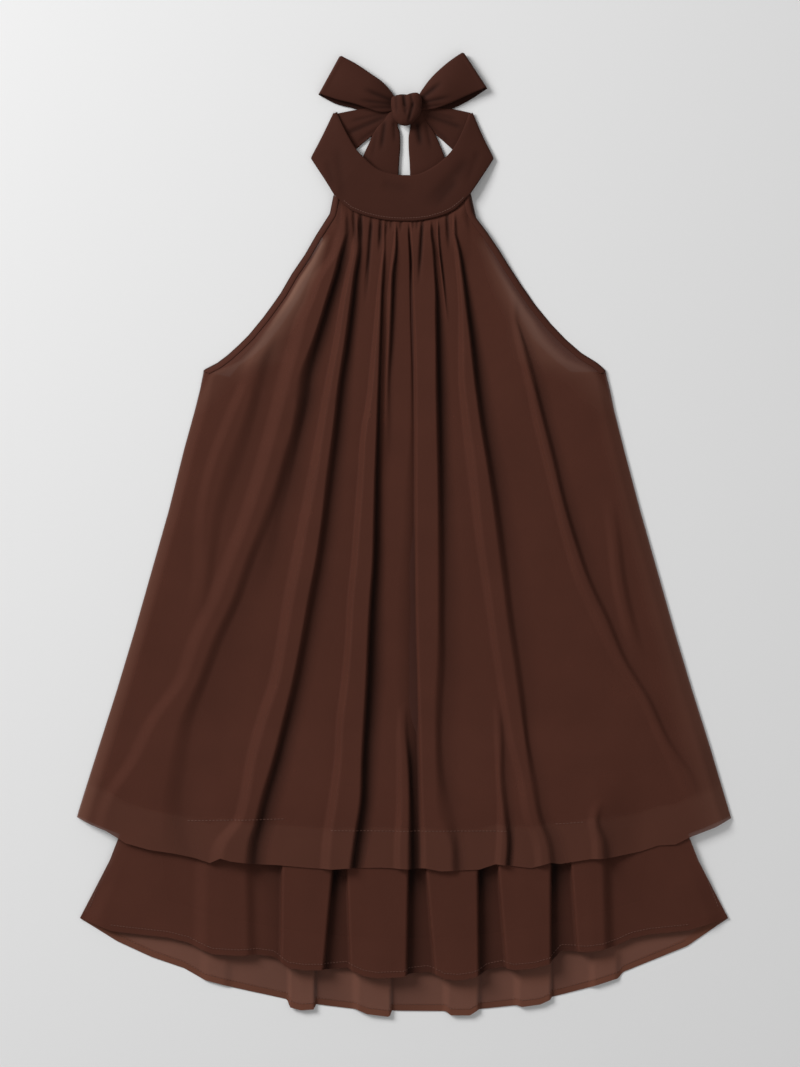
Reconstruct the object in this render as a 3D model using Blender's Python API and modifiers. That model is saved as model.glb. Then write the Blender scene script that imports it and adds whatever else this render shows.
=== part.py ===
# Pleated halter mini dress, laid flat with its front up.
# Lengths are in millimetres here and become metres in the meshes.
# +X is the right of the picture, +Y runs from the hem to the neck, +Z is up from the surface.

import math

import bmesh
import bpy
import numpy as np

MM = 0.001

# Cloth walls and the air that keeps two layers apart
WALL = 1.0
FRONT_WALL = 1.2
BAND_WALL = 1.6
SEAM_GAP = 0.3
LAYER = WALL + SEAM_GAP

# Heights of the undersides of the layers, from the surface up
OUTER_BACK_Z = 0.0
TIER_BACK_Z = LAYER
SLIP_BACK_Z = 2 * LAYER
SLIP_FRONT_Z = 3 * LAYER
TIER_FRONT_Z = 4 * LAYER

# Outline of the outer front panel, half of it: a row for each section from the neck seam to the hem
# edge_y is where the section meets the edge, sag how far its middle hangs below that, and spread
# draws the columns outwards, so that they run along the folds
OUTER_ROWS = (
    # edge_y, half_width, sag, roundness, edge_z, spread
    (339.0, 67.0, 26.0, 2.8, 5.4, 0.5),
    (333.0, 68.5, 26.5, 2.8, 5.4, 0.48),
    (299.0, 86.5, 29.0, 2.8, 4.6, 0.4),
    (280.0, 98.0, 30.0, 2.8, 3.2, 0.3),
    (261.0, 112.0, 31.0, 2.8, 1.8, 0.2),
    (232.0, 130.0, 32.0, 2.8, 0.6, 0.12),
    (200.0, 156.0, 33.0, 2.8, 0.2, 0.02),
    (180.0, 177.0, 34.0, 2.8, 0.4, -0.07),
    (165.0, 200.0, 35.0, 2.8, 1.3, -0.14),
    (145.0, 205.0, 36.0, 2.8, 1.3, -0.13),
    (25.0, 235.5, 40.0, 3.0, 1.3, -0.08),
    (-95.0, 269.5, 44.0, 3.3, 1.3, -0.02),
    (-215.0, 306.5, 48.0, 3.6, 1.3, 0.05),
    (-282.0, 327.0, 50.0, 3.8, 1.3, 0.1),
)
OUTER_COLUMNS = 70
# The row of the table under the arm, and the first one past the slip's waist
UNDERARM_ROW = 9
WAIST_ROW = 12
# Sections added between two rows of the table, by the gap that they leave above and below the arm
ARMHOLE_Y = 160.0
ROW_STEPS = (15.0, 41.0)
# The slip's edge lies further in than this, so the front panel is at full height here
# The armhole bindings are as wide
EDGE_RAMP = 9.5

# Long folds of the outer front. Each is a roll of cloth with a lit left flank and a steep right one.
# x is where the right flank falls, roll the roll's width, flank and drop the widths of its two slopes
FOLD_LEVELS = (300.0, 195.0, 55.0, -125.0, -315.0)
LONG_FOLDS = (
    # name, x at each level, rise at each level, roll (neck, hem), flank, drop (neck, hem)
    ("far left", (-106, -128, -166, -224, -284), (0, 4, 5, 4, 2), (20, 26), 22, (14, 18)),
    ("left", (-56, -84, -115, -191, -218), (8, 11, 8, 5, 3), (20, 34), 18, (9, 18)),
    ("left inner", (-70, -92, -118, -154, -172), (0, 0, 1, 3, 2), (14, 22), 14, (12, 14)),
    ("left middle", (-42, -55, -72, -103, -145), (6, 10, 9, 8, 8), (13, 26), 14, (8, 12)),
    ("left centre", (-20, -23, -26, -32, -46), (5, 7, 9, 9, 8), (13, 24), 14, (6, 9)),
    ("short left", (-7, -12, -12, -12, -12), (6, 6, 1, 0, 0), (10, 12), 8, (6, 6)),
    ("hem crease", (6, 6, 6, -2, 9), (0, 0, 0, 2, 7), (18, 20), 14, (5, 6)),
    ("centre pleat", (31, 35, 38, 40, 51), (7, 10, 9, 7, 5), (20, 27), 4, (8, 20)),
    ("short right", (37, 43, 43, 43, 43), (4, 2, 0, 0, 0), (6, 6), 5, (5, 5)),
    ("right middle", (53, 68, 89, 116, 142), (7, 11, 9, 6, 6), (14, 24), 14, (9, 14)),
    ("right hem", (56, 60, 72, 84, 104), (0, 0, 0, 1, 6), (16, 18), 12, (8, 8)),
    ("right soft", (84, 94, 124, 166, 182), (0, 2, 4, 3, 0), (14, 18), 16, (12, 14)),
    ("right", (98, 120, 154, 221, 300), (0, 5, 7, 5, 1), (14, 14), 12, (10, 9)),
    ("far right", (120, 150, 186, 244, 290), (0, 0, 3, 3, 1), (12, 12), 10, (8, 8)),
    ("corner hem", (120, 150, 170, 190, 200), (0, 0, 0, 0.5, 4), (12, 14), 10, (8, 8)),
)

# Gathers under the neckband: where each crease leaves the seam, how far it leans outwards and runs
GATHERS = (
    # x, lean, length, depth
    (-57.0, -5.0, 40.0, 2.4),
    (-50.0, -5.0, 34.0, 2.4),
    (-45.0, -3.0, 26.0, 2.0),
    (-38.5, -4.0, 44.0, 2.6),
    (-31.0, -2.0, 30.0, 2.2),
    (-23.5, -1.5, 36.0, 2.2),
    (-18.5, -1.0, 44.0, 2.6),
    (-12.0, -0.5, 26.0, 2.0),
    (-7.0, -0.5, 50.0, 2.6),
    (-2.5, 0.0, 24.0, 1.8),
    (5.0, 0.5, 40.0, 2.4),
    (10.5, 0.5, 24.0, 1.8),
    (18.5, 0.5, 40.0, 2.4),
    (26.5, 1.5, 30.0, 2.2),
    (34.0, 2.0, 44.0, 2.6),
    (41.0, 3.0, 36.0, 2.2),
    (50.0, 4.0, 44.0, 2.6),
    (57.5, 5.0, 34.0, 2.2),
)
GATHER_WIDTH = 2.6
# Shares of a gather's length where it is at full depth
GATHER_DEEP = (0.25, 0.35)
# The cloth swells out under the seam and settles again, and the long folds begin there
NECK_SWELL = 2.6
NECK_SWELL_TOP = 12.0
NECK_SWELL_END = (20.0, 60.0)
FOLDS_BEGIN = 14.0

# Armhole edge of the slip and of the outer back, cut further in than the front's
INNER_ARMHOLE = (
    # y, half_width
    (150.0, 190.0),
    (158.0, 175.0),
    (169.0, 163.0),
    (178.0, 150.0),
    (191.0, 137.0),
    (206.0, 125.5),
    (222.0, 114.0),
    (238.0, 104.0),
    (249.0, 98.0),
    (267.0, 89.5),
    (291.0, 80.0),
)
# The back's right edge shows beside the front for a hand's width under the neckband
BACK_TOP_RIGHT = ((317.0, 72.4), (336.0, 67.0))
BACK_TOP_LEFT = ((317.0, 66.0), (336.0, 58.0))
BACK_SIDE_INSET = 2.0
BACK_HEM_SHORTER = 3.0

SLIP_SIDE_INSET = 14.0
SLIP_TOP = ((300.0, 74.0), (336.0, 56.0))
SLIP_WAIST = ((-155.0, 270.0), (-230.0, 250.0))
SLIP_HEM_Y = -365.0
SLIP_HEM_HALF = 236.0
SLIP_HEM_SAG = 38.0
SLIP_HEM_ROUNDNESS = 2.0
SLIP_BACK_SHORTER = 2.0
HEM_STEPS = 12

# Lower tier: a flounce sewn round the slip, front and back panel
TIER_SEAM_Y = -230.0
TIER_SEAM_HALF = 257.0
TIER_SEAM_SAG = 22.0
TIER_CORNER_Y = -383.0
TIER_CORNER_HALF = 323.5
TIER_FRONT_SAG = 54.0
TIER_BACK_SAG = 93.0
TIER_ROUNDNESS = 2.1
# The tier's columns beside its side seams: how far in they lie, and the seam's slant above the corner
TIER_SIDE_COLUMNS = (0.0, 30.0, 70.0)
TIER_SIDE_SLANT = 30.0
# Sections of the front tier, by their share of the way down to its hem, and its side seam's height there
TIER_FRONT_ROWS = (
    # share, side_z
    (0.0, 5.2),
    (0.2, 5.2),
    (0.36, 4.6),
    (0.5, 3.2),
    (0.7, 2.2),
    (0.88, 1.5),
    (1.0, 1.3),
)
TIER_BACK_ROWS = (0.0, 0.3, 0.55, 0.62, 0.78, 0.86, 0.94, 1.0)
# Between these shares the back tier comes down to the surface
TIER_BACK_LANDS = (0.55, 0.62)
# Where the outer hem crosses the tier, and how late a fold's extra length shows at the tier's hem
OUTER_HEM_Y = -325.0
HEM_DROP_POWER = 6
BOX_CROWN = 1.06
TIER_FOLD_RISE = 8.0
TIER_BACK_RISE = 3.4
RISER = 3.0
# The folds stand fully below the outer hem and die out under it
TIER_FOLD_START = -262.0
TIER_FOLD_FULL = -322.0
BACK_FOLD_START = -408.0
BACK_FOLD_FULL = -440.0

# Box folds of the tier: edges at the outer hem and at the tier's own hem, from the centre line
FRONT_BOX_FOLDS = (
    # upper left, upper right, lower left, lower right, riser left, riser right, rise share, hem drop
    (-202.0, -154.0, -204.0, -152.0, 14.0, 10.0, 0.5, 3.0),
    (-122.0, -70.0, -123.0, -80.0, RISER, RISER, 1.0, 5.0),
    (-57.5, 5.0, -53.5, 3.0, RISER, RISER, 1.0, 6.0),
    (21.0, 74.0, 31.0, 75.0, RISER, RISER, 1.0, 7.0),
    (93.0, 147.0, 102.0, 147.0, RISER, RISER, 1.0, 4.0),
    (166.0, 202.0, 173.0, 204.5, RISER, 12.0, 0.8, 2.0),
)
BACK_BOX_FOLDS = (
    (-200.0, -172.0, -200.0, -176.0, 12.0, 10.0, 0.6, 2.0),
    (-115.0, -89.0, -115.0, -89.0, RISER, RISER, 1.0, 5.0),
    (-48.0, -13.0, -48.0, -13.0, 8.0, RISER, 1.0, 5.0),
    (42.0, 75.0, 42.0, 75.0, 8.0, RISER, 1.0, 5.0),
    (113.0, 147.0, 113.0, 147.0, 8.0, RISER, 1.0, 6.0),
    (188.0, 214.0, 188.0, 214.0, 8.0, 8.0, 0.7, 3.0),
)

# Hem of the outer front above the tier: it bridges the box folds, so it lies as high as they do
BRIDGE_START = -170.0
BRIDGE_FULL = -300.0
BRIDGE_HALF = 185.0
BRIDGE_FADE = 55.0
# The outer front steps up onto the tier's wall this far above the tier's seam
TIER_STEP_ABOVE = 40.0
TIER_STEP_LENGTH = 30.0

# Neckband: stations from the shoulder tip to the middle, mirrored, on its inner and outer edge
BAND_CENTRE_X = -1.0
BAND_STATIONS = (
    # inner x, inner y, outer x, outer y, inner z, outer z
    (65.0, 419.0, 68.0, 422.5, 1.5, 1.5),
    (59.5, 404.5, 82.0, 395.0, 5.2, 1.8),
    (50.0, 386.0, 91.5, 376.0, 6.6, 2.2),
    (41.0, 376.5, 81.0, 357.5, 7.2, 5.4),
    (27.0, 365.0, 68.5, 341.0, 7.6, 7.0),
    (15.0, 360.8, 46.0, 323.0, 7.6, 7.0),
    (0.0, 359.0, 0.0, 313.8, 7.6, 7.0),
)
BAND_ROWS = 4
BAND_COLUMNS_PER_STATION = 3
BAND_CROWN = 0.7

BACK_BAND_STATIONS = (
    # upper x, upper y, lower x, lower y
    (66.5, 419.5, 51.0, 383.0),
    (52.0, 424.0, 38.0, 394.0),
    (36.0, 427.5, 26.5, 404.0),
    (19.0, 431.0, 17.0, 414.0),
    (6.0, 432.0, 6.0, 418.0),
)
BACK_BAND_Z = 0.1
BACK_BAND_COLUMNS = 6
BACK_BAND_ROWS = 4

# Bow: the cloth of each loop runs out below, turns at the outer end and comes back on top
# The tails and the back band run in under the knot, which lies on them
KNOT_CENTRE = (2.5, 425.5, 8.7)
KNOT_HALF = (14.5, 16.0, 6.4)
KNOT_SEGMENTS = 20
KNOT_RINGS = 12
# Shares of the knot's half size: its crease's depth, place, lean and width, how square its top is,
# and how much it narrows and leans to the left below
KNOT_CREASE = 0.2
KNOT_CREASE_X = -0.12
KNOT_CREASE_LEAN = 0.25
KNOT_CREASE_WIDTH = 0.16
KNOT_SQUARE = 0.3
KNOT_NARROWS = 0.3
KNOT_LEAN = 0.22
LOOP_LEFT = (
    # upper x, upper y, lower x, lower y
    (-9.5, 437.0, -9.5, 424.8),
    (-20.5, 450.0, -29.5, 421.5),
    (-33.0, 459.5, -48.5, 427.0),
    (-48.0, 470.0, -66.5, 432.0),
    (-62.0, 478.0, -83.5, 439.5),
)
LOOP_RIGHT = (
    (14.0, 438.0, 14.0, 424.8),
    (25.5, 453.0, 33.5, 423.5),
    (37.5, 466.0, 50.0, 427.5),
    (48.5, 475.0, 66.0, 435.5),
    (58.0, 480.9, 81.2, 445.0),
)
LOOP_Z = 1.5
# Half the height between a loop's two layers, at the knot and at its outer end
LOOP_HALF_GAP = (0.75, 2.6)
LOOP_CROWN = 4.0
LOOP_ROWS = 5
LOOP_OUT_STEPS = 7
LOOP_TURN_STEPS = 4
# Share of the way out where a loop is fully open, and how round its outer end is
LOOP_OPEN_AT = 0.5
LOOP_END_BULGE = 0.6
# Outline of how the loop swells between the knot and its outer end
LOOP_SWELL_END = 0.95
LOOP_SWELL_POWER = 0.6
# How much further down the lower layer reaches than the upper one
LOOP_SHOWS = 0.13
TAIL_LEFT = (
    # outer x, outer y, inner x, inner y
    (-13.0, 423.5, -3.0, 421.0),
    (-18.6, 414.5, -5.5, 409.5),
    (-28.0, 404.5, -4.0, 400.0),
    (-35.0, 391.0, -4.0, 388.0),
    (-41.0, 377.0, -5.5, 374.0),
    (-45.0, 360.0, -6.5, 356.0),
)
TAIL_RIGHT = (
    (17.0, 423.5, 6.0, 421.0),
    (22.0, 414.5, 7.0, 409.0),
    (30.0, 402.0, 5.2, 398.0),
    (36.5, 389.0, 5.2, 385.0),
    (41.0, 376.0, 6.0, 372.0),
    (45.0, 360.0, 6.5, 356.0),
)
TAIL_Z = 1.5
TAIL_COLUMNS = 10
TAIL_ROWS = 6
# One soft fold runs down each tail: height, place across, width, start and end of its rise, and fading
TAIL_FOLD = 1.8
TAIL_FOLD_ACROSS = 0.45
TAIL_FOLD_WIDTH = 0.2
TAIL_FOLD_RISES = (0.1, 0.35)
TAIL_FOLD_FADES = 0.4

BINDING_LOW_Y = 162.0
BINDING_HIGH_Y = 335.0
# Clears the wall of the panel, also where that slopes
BINDING_LIFT = 1.9

# sRGB, roughness
CLOTH_COLOURS = {
    "chiffon": ((66, 37, 29), 0.85),
    "chiffon_hem": ((60, 34, 27), 0.85),
    "lining": ((50, 28, 22), 0.7),
    "band": ((56, 31, 24), 0.8),
}


def smooth(start, end, value):
    """0 before start, 1 past end, and a soft S between."""
    share = np.clip((value - start) / (end - start), 0.0, 1.0)
    return float(share * share * (3.0 - 2.0 * share))


def between(rows, column, key):
    """A column of a table read at key, which the table's first column counts up or down."""
    keys = [row[0] for row in rows]
    values = [row[column] for row in rows]
    if keys[0] > keys[-1]:
        keys.reverse()
        values.reverse()
    return float(np.interp(key, keys, values))


def linear(value):
    """One sRGB channel of 0 to 255 as linear light."""
    share = value / 255.0
    return share / 12.92 if share <= 0.04045 else ((share + 0.055) / 1.055) ** 2.4


def cloth_material(name):
    colour, roughness = CLOTH_COLOURS[name]
    material = bpy.data.materials.get(name) or bpy.data.materials.new(name)
    material.use_nodes = True
    shader = material.node_tree.nodes["Principled BSDF"]
    shader.inputs["Base Color"].default_value = (*map(linear, colour), 1.0)
    shader.inputs["Roughness"].default_value = roughness
    shader.inputs["Metallic"].default_value = 0.0
    return material


def finish_part(obj, name, material):
    obj.name = name
    obj.data.name = name
    obj.data.materials.append(cloth_material(material))
    for other in list(obj.users_collection):
        other.objects.unlink(obj)
    dress.objects.link(obj)
    return obj


def cloth_sheet(name, columns, rows, place, wall, material):
    """A grid of cells whose corners go where place(column, row) says, thickened upwards."""
    grid = bmesh.new()
    bmesh.ops.create_grid(grid, x_segments=columns, y_segments=rows, size=1.0)
    for corner in grid.verts:
        column = round((corner.co.x + 1.0) / 2.0 * columns)
        row = round((1.0 - corner.co.y) / 2.0 * rows)
        corner.co = [value * MM for value in place(column, row)]
    bmesh.ops.recalc_face_normals(grid, faces=grid.faces)
    upward = sum(face.normal.z * face.calc_area() for face in grid.faces)
    if upward < 0.0:
        bmesh.ops.reverse_faces(grid, faces=grid.faces)
    mesh = bpy.data.meshes.new(name)
    grid.to_mesh(mesh)
    grid.free()
    mesh.shade_smooth()
    sheet = finish_part(bpy.data.objects.new(name, mesh), name, material)
    thicken = sheet.modifiers.new("cloth wall", "SOLIDIFY")
    thicken.thickness = wall * MM
    thicken.offset = 1.0
    return sheet


def flat_panel(name, outline, underside, material):
    """A flat layer cut along outline."""
    curve = bpy.data.curves.new(name, "CURVE")
    curve.dimensions = "2D"
    curve.fill_mode = "BOTH"
    curve.extrude = WALL / 2.0 * MM
    edge = curve.splines.new("POLY")
    edge.points.add(len(outline) - 1)
    for point, (x, y) in zip(edge.points, outline):
        point.co = (x * MM, y * MM, 0.0, 1.0)
    edge.use_cyclic_u = True
    panel = finish_part(bpy.data.objects.new(name, curve), name, material)
    panel.location.z = (underside + WALL / 2.0) * MM
    return panel


# The outer front panel

def outer_half(y):
    """Half width of the outer panels where their edge is at y."""
    return between(OUTER_ROWS, 1, y)


def outer_sections():
    """edge_y of each section: the table's rows, and more where they lie far apart."""
    sections = [OUTER_ROWS[0][0]]
    for row in OUTER_ROWS[1:]:
        start = sections[-1]
        step = ROW_STEPS[0] if start > ARMHOLE_Y else ROW_STEPS[1]
        parts = math.ceil((start - row[0]) / step)
        sections += [start + (row[0] - start) * (part + 1) / parts for part in range(parts)]
    return sections


def fold_rise(x, y):
    """Height that the long folds give the cloth at x, y."""
    height = 0.0
    levels = FOLD_LEVELS[::-1]
    for _, xs, rises, roll, flank, drop in LONG_FOLDS:
        rise = float(np.interp(y, levels, rises[::-1]))
        fall = float(np.interp(y, levels, xs[::-1]))
        ends = (FOLD_LEVELS[-1], FOLD_LEVELS[0])
        width = float(np.interp(y, ends, roll[::-1]))
        slope = float(np.interp(y, ends, drop[::-1]))
        left = fall - width - flank / 2.0
        height += (
            rise
            * smooth(left, left + flank, x)
            * (1.0 - smooth(fall - slope / 2.0, fall + slope / 2.0, x))
        )
    return height


def gather_dip(x, below_seam):
    """Depth of the gathers this far below the neck seam."""
    depth = 0.0
    for crease, lean, length, deep in GATHERS:
        share = below_seam / length
        if share >= 1.0:
            continue
        at = crease + lean * share
        strength = smooth(0.0, GATHER_DEEP[0], share) * (1.0 - smooth(GATHER_DEEP[1], 1.0, share))
        depth += deep * strength * (1.0 - smooth(0.0, GATHER_WIDTH, abs(x - at)))
    return depth


def hem_bridge(x, y):
    """Extra height of the outer front where it lies on the tier and its box folds."""
    down = smooth(BRIDGE_START, BRIDGE_FULL, y) if y < BRIDGE_START else 0.0
    middle = 1.0 - smooth(BRIDGE_HALF, BRIDGE_HALF + BRIDGE_FADE, abs(x))
    tier = smooth(0.0, 1.0, (TIER_SEAM_Y + TIER_STEP_ABOVE - y) / TIER_STEP_LENGTH)
    return tier * (FRONT_WALL + SEAM_GAP) + down * middle * TIER_FOLD_RISE


def outer_front_height(x, y, edge_distance, edge_z, below_seam):
    """Underside of the outer front at x, y."""
    inside = min(edge_distance / EDGE_RAMP, 1.0)
    full = TIER_FRONT_Z + hem_bridge(x, y)
    folds = fold_rise(x, y) * smooth(EDGE_RAMP, 3.0 * EDGE_RAMP, edge_distance)
    folds *= smooth(0.0, FOLDS_BEGIN, below_seam)
    swell = NECK_SWELL * smooth(0.0, NECK_SWELL_TOP, below_seam)
    swell *= 1.0 - smooth(*NECK_SWELL_END, below_seam)
    height = full + folds + max(swell - gather_dip(x, below_seam), 0.0)
    return edge_z + (height - edge_z) * inside


def outer_front_corner(column, row):
    """Underside of the outer front at a corner of its grid."""
    edge_y = outer_sections()[row]
    half = outer_half(edge_y)
    # the outermost columns are one ramp in from the edge, so the slope down to it is theirs
    inner = half - EDGE_RAMP
    if column == 0:
        x = -half
    elif column == OUTER_COLUMNS:
        x = half
    else:
        share = 2.0 * (column - 1) / (OUTER_COLUMNS - 2) - 1.0
        x = inner * share * (1.0 + between(OUTER_ROWS, 5, edge_y) * (1.0 - abs(share)))
    across = abs(x) / half
    y = edge_y - between(OUTER_ROWS, 2, edge_y) * (
        1.0 - across ** between(OUTER_ROWS, 3, edge_y)
    )
    seam_y, seam_half, seam_sag, seam_roundness = OUTER_ROWS[0][:4]
    seam_y -= seam_sag * (1.0 - min(abs(x) / seam_half, 1.0) ** seam_roundness)
    edge_z = between(OUTER_ROWS, 4, edge_y)
    return x, y, outer_front_height(x, y, half - abs(x), edge_z, seam_y - y)


def build_outer_front():
    rows = len(outer_sections()) - 1
    cloth_sheet(
        "outer_front", OUTER_COLUMNS, rows, outer_front_corner, FRONT_WALL, "chiffon"
    )


def build_armhole_binding(name, first_column):
    """A narrow strip folded over the armhole edge: the panel's own points, moved up."""
    rows = [
        index
        for index, edge_y in enumerate(outer_sections())
        if BINDING_LOW_Y < edge_y < BINDING_HIGH_Y
    ]

    def place(column, row):
        x, y, z = outer_front_corner(first_column + column, rows[row])
        return x, y, z + BINDING_LIFT

    cloth_sheet(name, 1, len(rows) - 1, place, WALL, "chiffon_hem")


# Flat layers under it

def hem_arc(half, corner_y, sag, roundness):
    """Right half of a hem, from the corner to the middle."""
    arc = []
    for step in range(HEM_STEPS + 1):
        across = 1.0 - step / HEM_STEPS
        arc.append((half * across, corner_y - sag * (1.0 - across**roundness)))
    return arc


def build_outer_back():
    hem_y, hem_half, hem_sag, roundness = OUTER_ROWS[-1][:4]
    armhole = [(half, y) for y, half in reversed(INNER_ARMHOLE)]
    side = [(half - BACK_SIDE_INSET, y) for y, half, *_ in OUTER_ROWS[UNDERARM_ROW:-1]]
    hem = hem_arc(
        hem_half - BACK_SIDE_INSET, hem_y, hem_sag - BACK_HEM_SHORTER, roundness
    )
    shared = armhole + side + hem[:-1]
    right = [(half, y) for y, half in reversed(BACK_TOP_RIGHT)] + shared
    left = [(-half, y) for y, half in reversed(BACK_TOP_LEFT)]
    left += [(-x, y) for x, y in shared]
    flat_panel(
        "outer_back", right + [hem[-1]] + list(reversed(left)), OUTER_BACK_Z, "chiffon"
    )


def slip_outline(shorter):
    top = [(half, y) for y, half in reversed(SLIP_TOP)]
    armhole = [(half, y) for y, half in reversed(INNER_ARMHOLE)]
    side = [
        (half - SLIP_SIDE_INSET, y)
        for y, half, *_ in OUTER_ROWS[UNDERARM_ROW:WAIST_ROW]
    ]
    waist = [(half, y) for y, half in SLIP_WAIST]
    hem = hem_arc(
        SLIP_HEM_HALF, SLIP_HEM_Y, SLIP_HEM_SAG - shorter, SLIP_HEM_ROUNDNESS
    )
    half_outline = top + armhole + side + waist + hem
    return half_outline + [(-x, y) for x, y in reversed(half_outline[:-1])]


def build_slip():
    flat_panel("slip_front", slip_outline(0.0), SLIP_FRONT_Z, "lining")
    flat_panel("slip_back", slip_outline(SLIP_BACK_SHORTER), SLIP_BACK_Z, "lining")


# The lower tier

def tier_columns(folds):
    """Columns of a tier panel: place at the outer hem and at the tier's hem, rise share, hem drop."""
    side_upper = TIER_CORNER_HALF - TIER_SIDE_SLANT
    columns = []
    for inset in TIER_SIDE_COLUMNS:
        columns.append((-side_upper + inset, -TIER_CORNER_HALF + inset, 0.0, 0.0))
    for index, (ul, ur, ll, lr, left, right, share, drop) in enumerate(folds):
        if index:
            previous = columns[-1]
            columns.append(
                ((previous[0] + ul) / 2.0, (previous[1] + ll) / 2.0, 0.0, 0.0)
            )
        columns.append((ul - left / 2.0, ll - left / 2.0, 0.0, 0.0))
        columns.append((ul + left / 2.0, ll + left / 2.0, share, drop))
        for part in (1.0 / 3.0, 2.0 / 3.0):
            upper = ul + left / 2.0 + (ur - right / 2.0 - ul - left / 2.0) * part
            lower = ll + left / 2.0 + (lr - right / 2.0 - ll - left / 2.0) * part
            columns.append((upper, lower, share * BOX_CROWN, drop))
        columns.append((ur - right / 2.0, lr - right / 2.0, share, drop))
        columns.append((ur + right / 2.0, lr + right / 2.0, 0.0, 0.0))
    for inset in reversed(TIER_SIDE_COLUMNS):
        columns.append((side_upper - inset, TIER_CORNER_HALF - inset, 0.0, 0.0))
    return columns


def tier_point(column, down, sag):
    """Plan place of a tier column this share of the way from the seam to the hem."""
    upper_x, lower_x, _, drop = column
    # a column's line through its places at the outer hem and at the tier's hem, read at the seam
    seam_x = lower_x * TIER_SEAM_HALF / TIER_CORNER_HALF
    across = lower_x / TIER_CORNER_HALF
    hem_y = TIER_CORNER_Y - sag * (1.0 - abs(across) ** TIER_ROUNDNESS)
    seam_y = TIER_SEAM_Y - TIER_SEAM_SAG * (1.0 - across**2)
    y = seam_y + (hem_y - seam_y) * down - drop * down**HEM_DROP_POWER
    if y > OUTER_HEM_Y:
        share = (y - OUTER_HEM_Y) / (seam_y - OUTER_HEM_Y)
        x = upper_x + (seam_x - upper_x) * share
    else:
        share = (y - OUTER_HEM_Y) / (hem_y - OUTER_HEM_Y)
        x = upper_x + (lower_x - upper_x) * share
    return x, y


def build_tier_front():
    columns = tier_columns(FRONT_BOX_FOLDS)

    def place(column, row):
        down, side_z = TIER_FRONT_ROWS[row]
        x, y = tier_point(columns[column], down, TIER_FRONT_SAG)
        folds = TIER_FOLD_RISE * columns[column][2]
        folds *= smooth(TIER_FOLD_START, TIER_FOLD_FULL, y) if y < TIER_FOLD_START else 0.0
        # past the slip the side seam comes down on the back tier
        at_side = column in (0, len(columns) - 1)
        return x, y, (side_z if at_side else TIER_FRONT_Z) + folds

    cloth_sheet(
        "tier_front", len(columns) - 1, len(TIER_FRONT_ROWS) - 1, place, WALL, "chiffon"
    )


def build_tier_back():
    columns = tier_columns(BACK_BOX_FOLDS)

    def place(column, row):
        down = TIER_BACK_ROWS[row]
        x, y = tier_point(columns[column], down, TIER_BACK_SAG)
        folds = TIER_BACK_RISE * columns[column][2]
        folds *= smooth(-BACK_FOLD_START, -BACK_FOLD_FULL, -y)
        base = TIER_BACK_Z * (1.0 - smooth(*TIER_BACK_LANDS, down))
        return x, y, base + folds

    cloth_sheet(
        "tier_back", len(columns) - 1, len(TIER_BACK_ROWS) - 1, place, WALL, "chiffon"
    )


# The neckband and the bow

def through(stations, position):
    """A smooth curve through the rows of stations, read at a position counted in rows."""
    last = len(stations) - 1
    index = min(int(position), last - 1)
    share = position - index
    rows = [stations[min(max(index + step, 0), last)] for step in (-1, 0, 1, 2)]
    values = []
    for a, b, c, d in zip(*rows):
        values.append(
            b
            + 0.5 * share * (c - a)
            + share**2 * (a - 2.5 * b + 2.0 * c - 0.5 * d)
            + share**3 * (1.5 * (b - c) + 0.5 * (d - a))
        )
    return values


def build_neckband_front():
    half = list(BAND_STATIONS)
    right = [tuple(row) for row in reversed(half[:-1])]
    stations = [(-row[0], row[1], -row[2], *row[3:]) for row in half] + right
    columns = (len(stations) - 1) * BAND_COLUMNS_PER_STATION

    def place(column, row):
        inner_x, inner_y, outer_x, outer_y, inner_z, outer_z = through(
            stations, column / BAND_COLUMNS_PER_STATION
        )
        share = row / BAND_ROWS
        x = BAND_CENTRE_X + inner_x + (outer_x - inner_x) * share
        y = inner_y + (outer_y - inner_y) * share
        middle = 4.0 * share * (1.0 - share)
        return x, y, inner_z + (outer_z - inner_z) * share + BAND_CROWN * middle

    cloth_sheet("neckband_front", columns, BAND_ROWS, place, BAND_WALL, "band")


def strip(name, stations, columns, rows, height):
    """A strip of cloth between the two edges that stations gives, lifted by height."""

    def place(column, row):
        x1, y1, x2, y2 = through(stations, column / columns * (len(stations) - 1))[:4]
        share = row / rows
        return (
            x1 + (x2 - x1) * share,
            y1 + (y2 - y1) * share,
            height(column / columns, share),
        )

    return cloth_sheet(name, columns, rows, place, WALL, "band")


def build_neckband_back(name, side):
    stations = [(side * x1, y1, side * x2, y2) for x1, y1, x2, y2 in BACK_BAND_STATIONS]
    strip(
        name,
        stations,
        BACK_BAND_COLUMNS,
        BACK_BAND_ROWS,
        lambda along, across: BACK_BAND_Z,
    )


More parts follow.
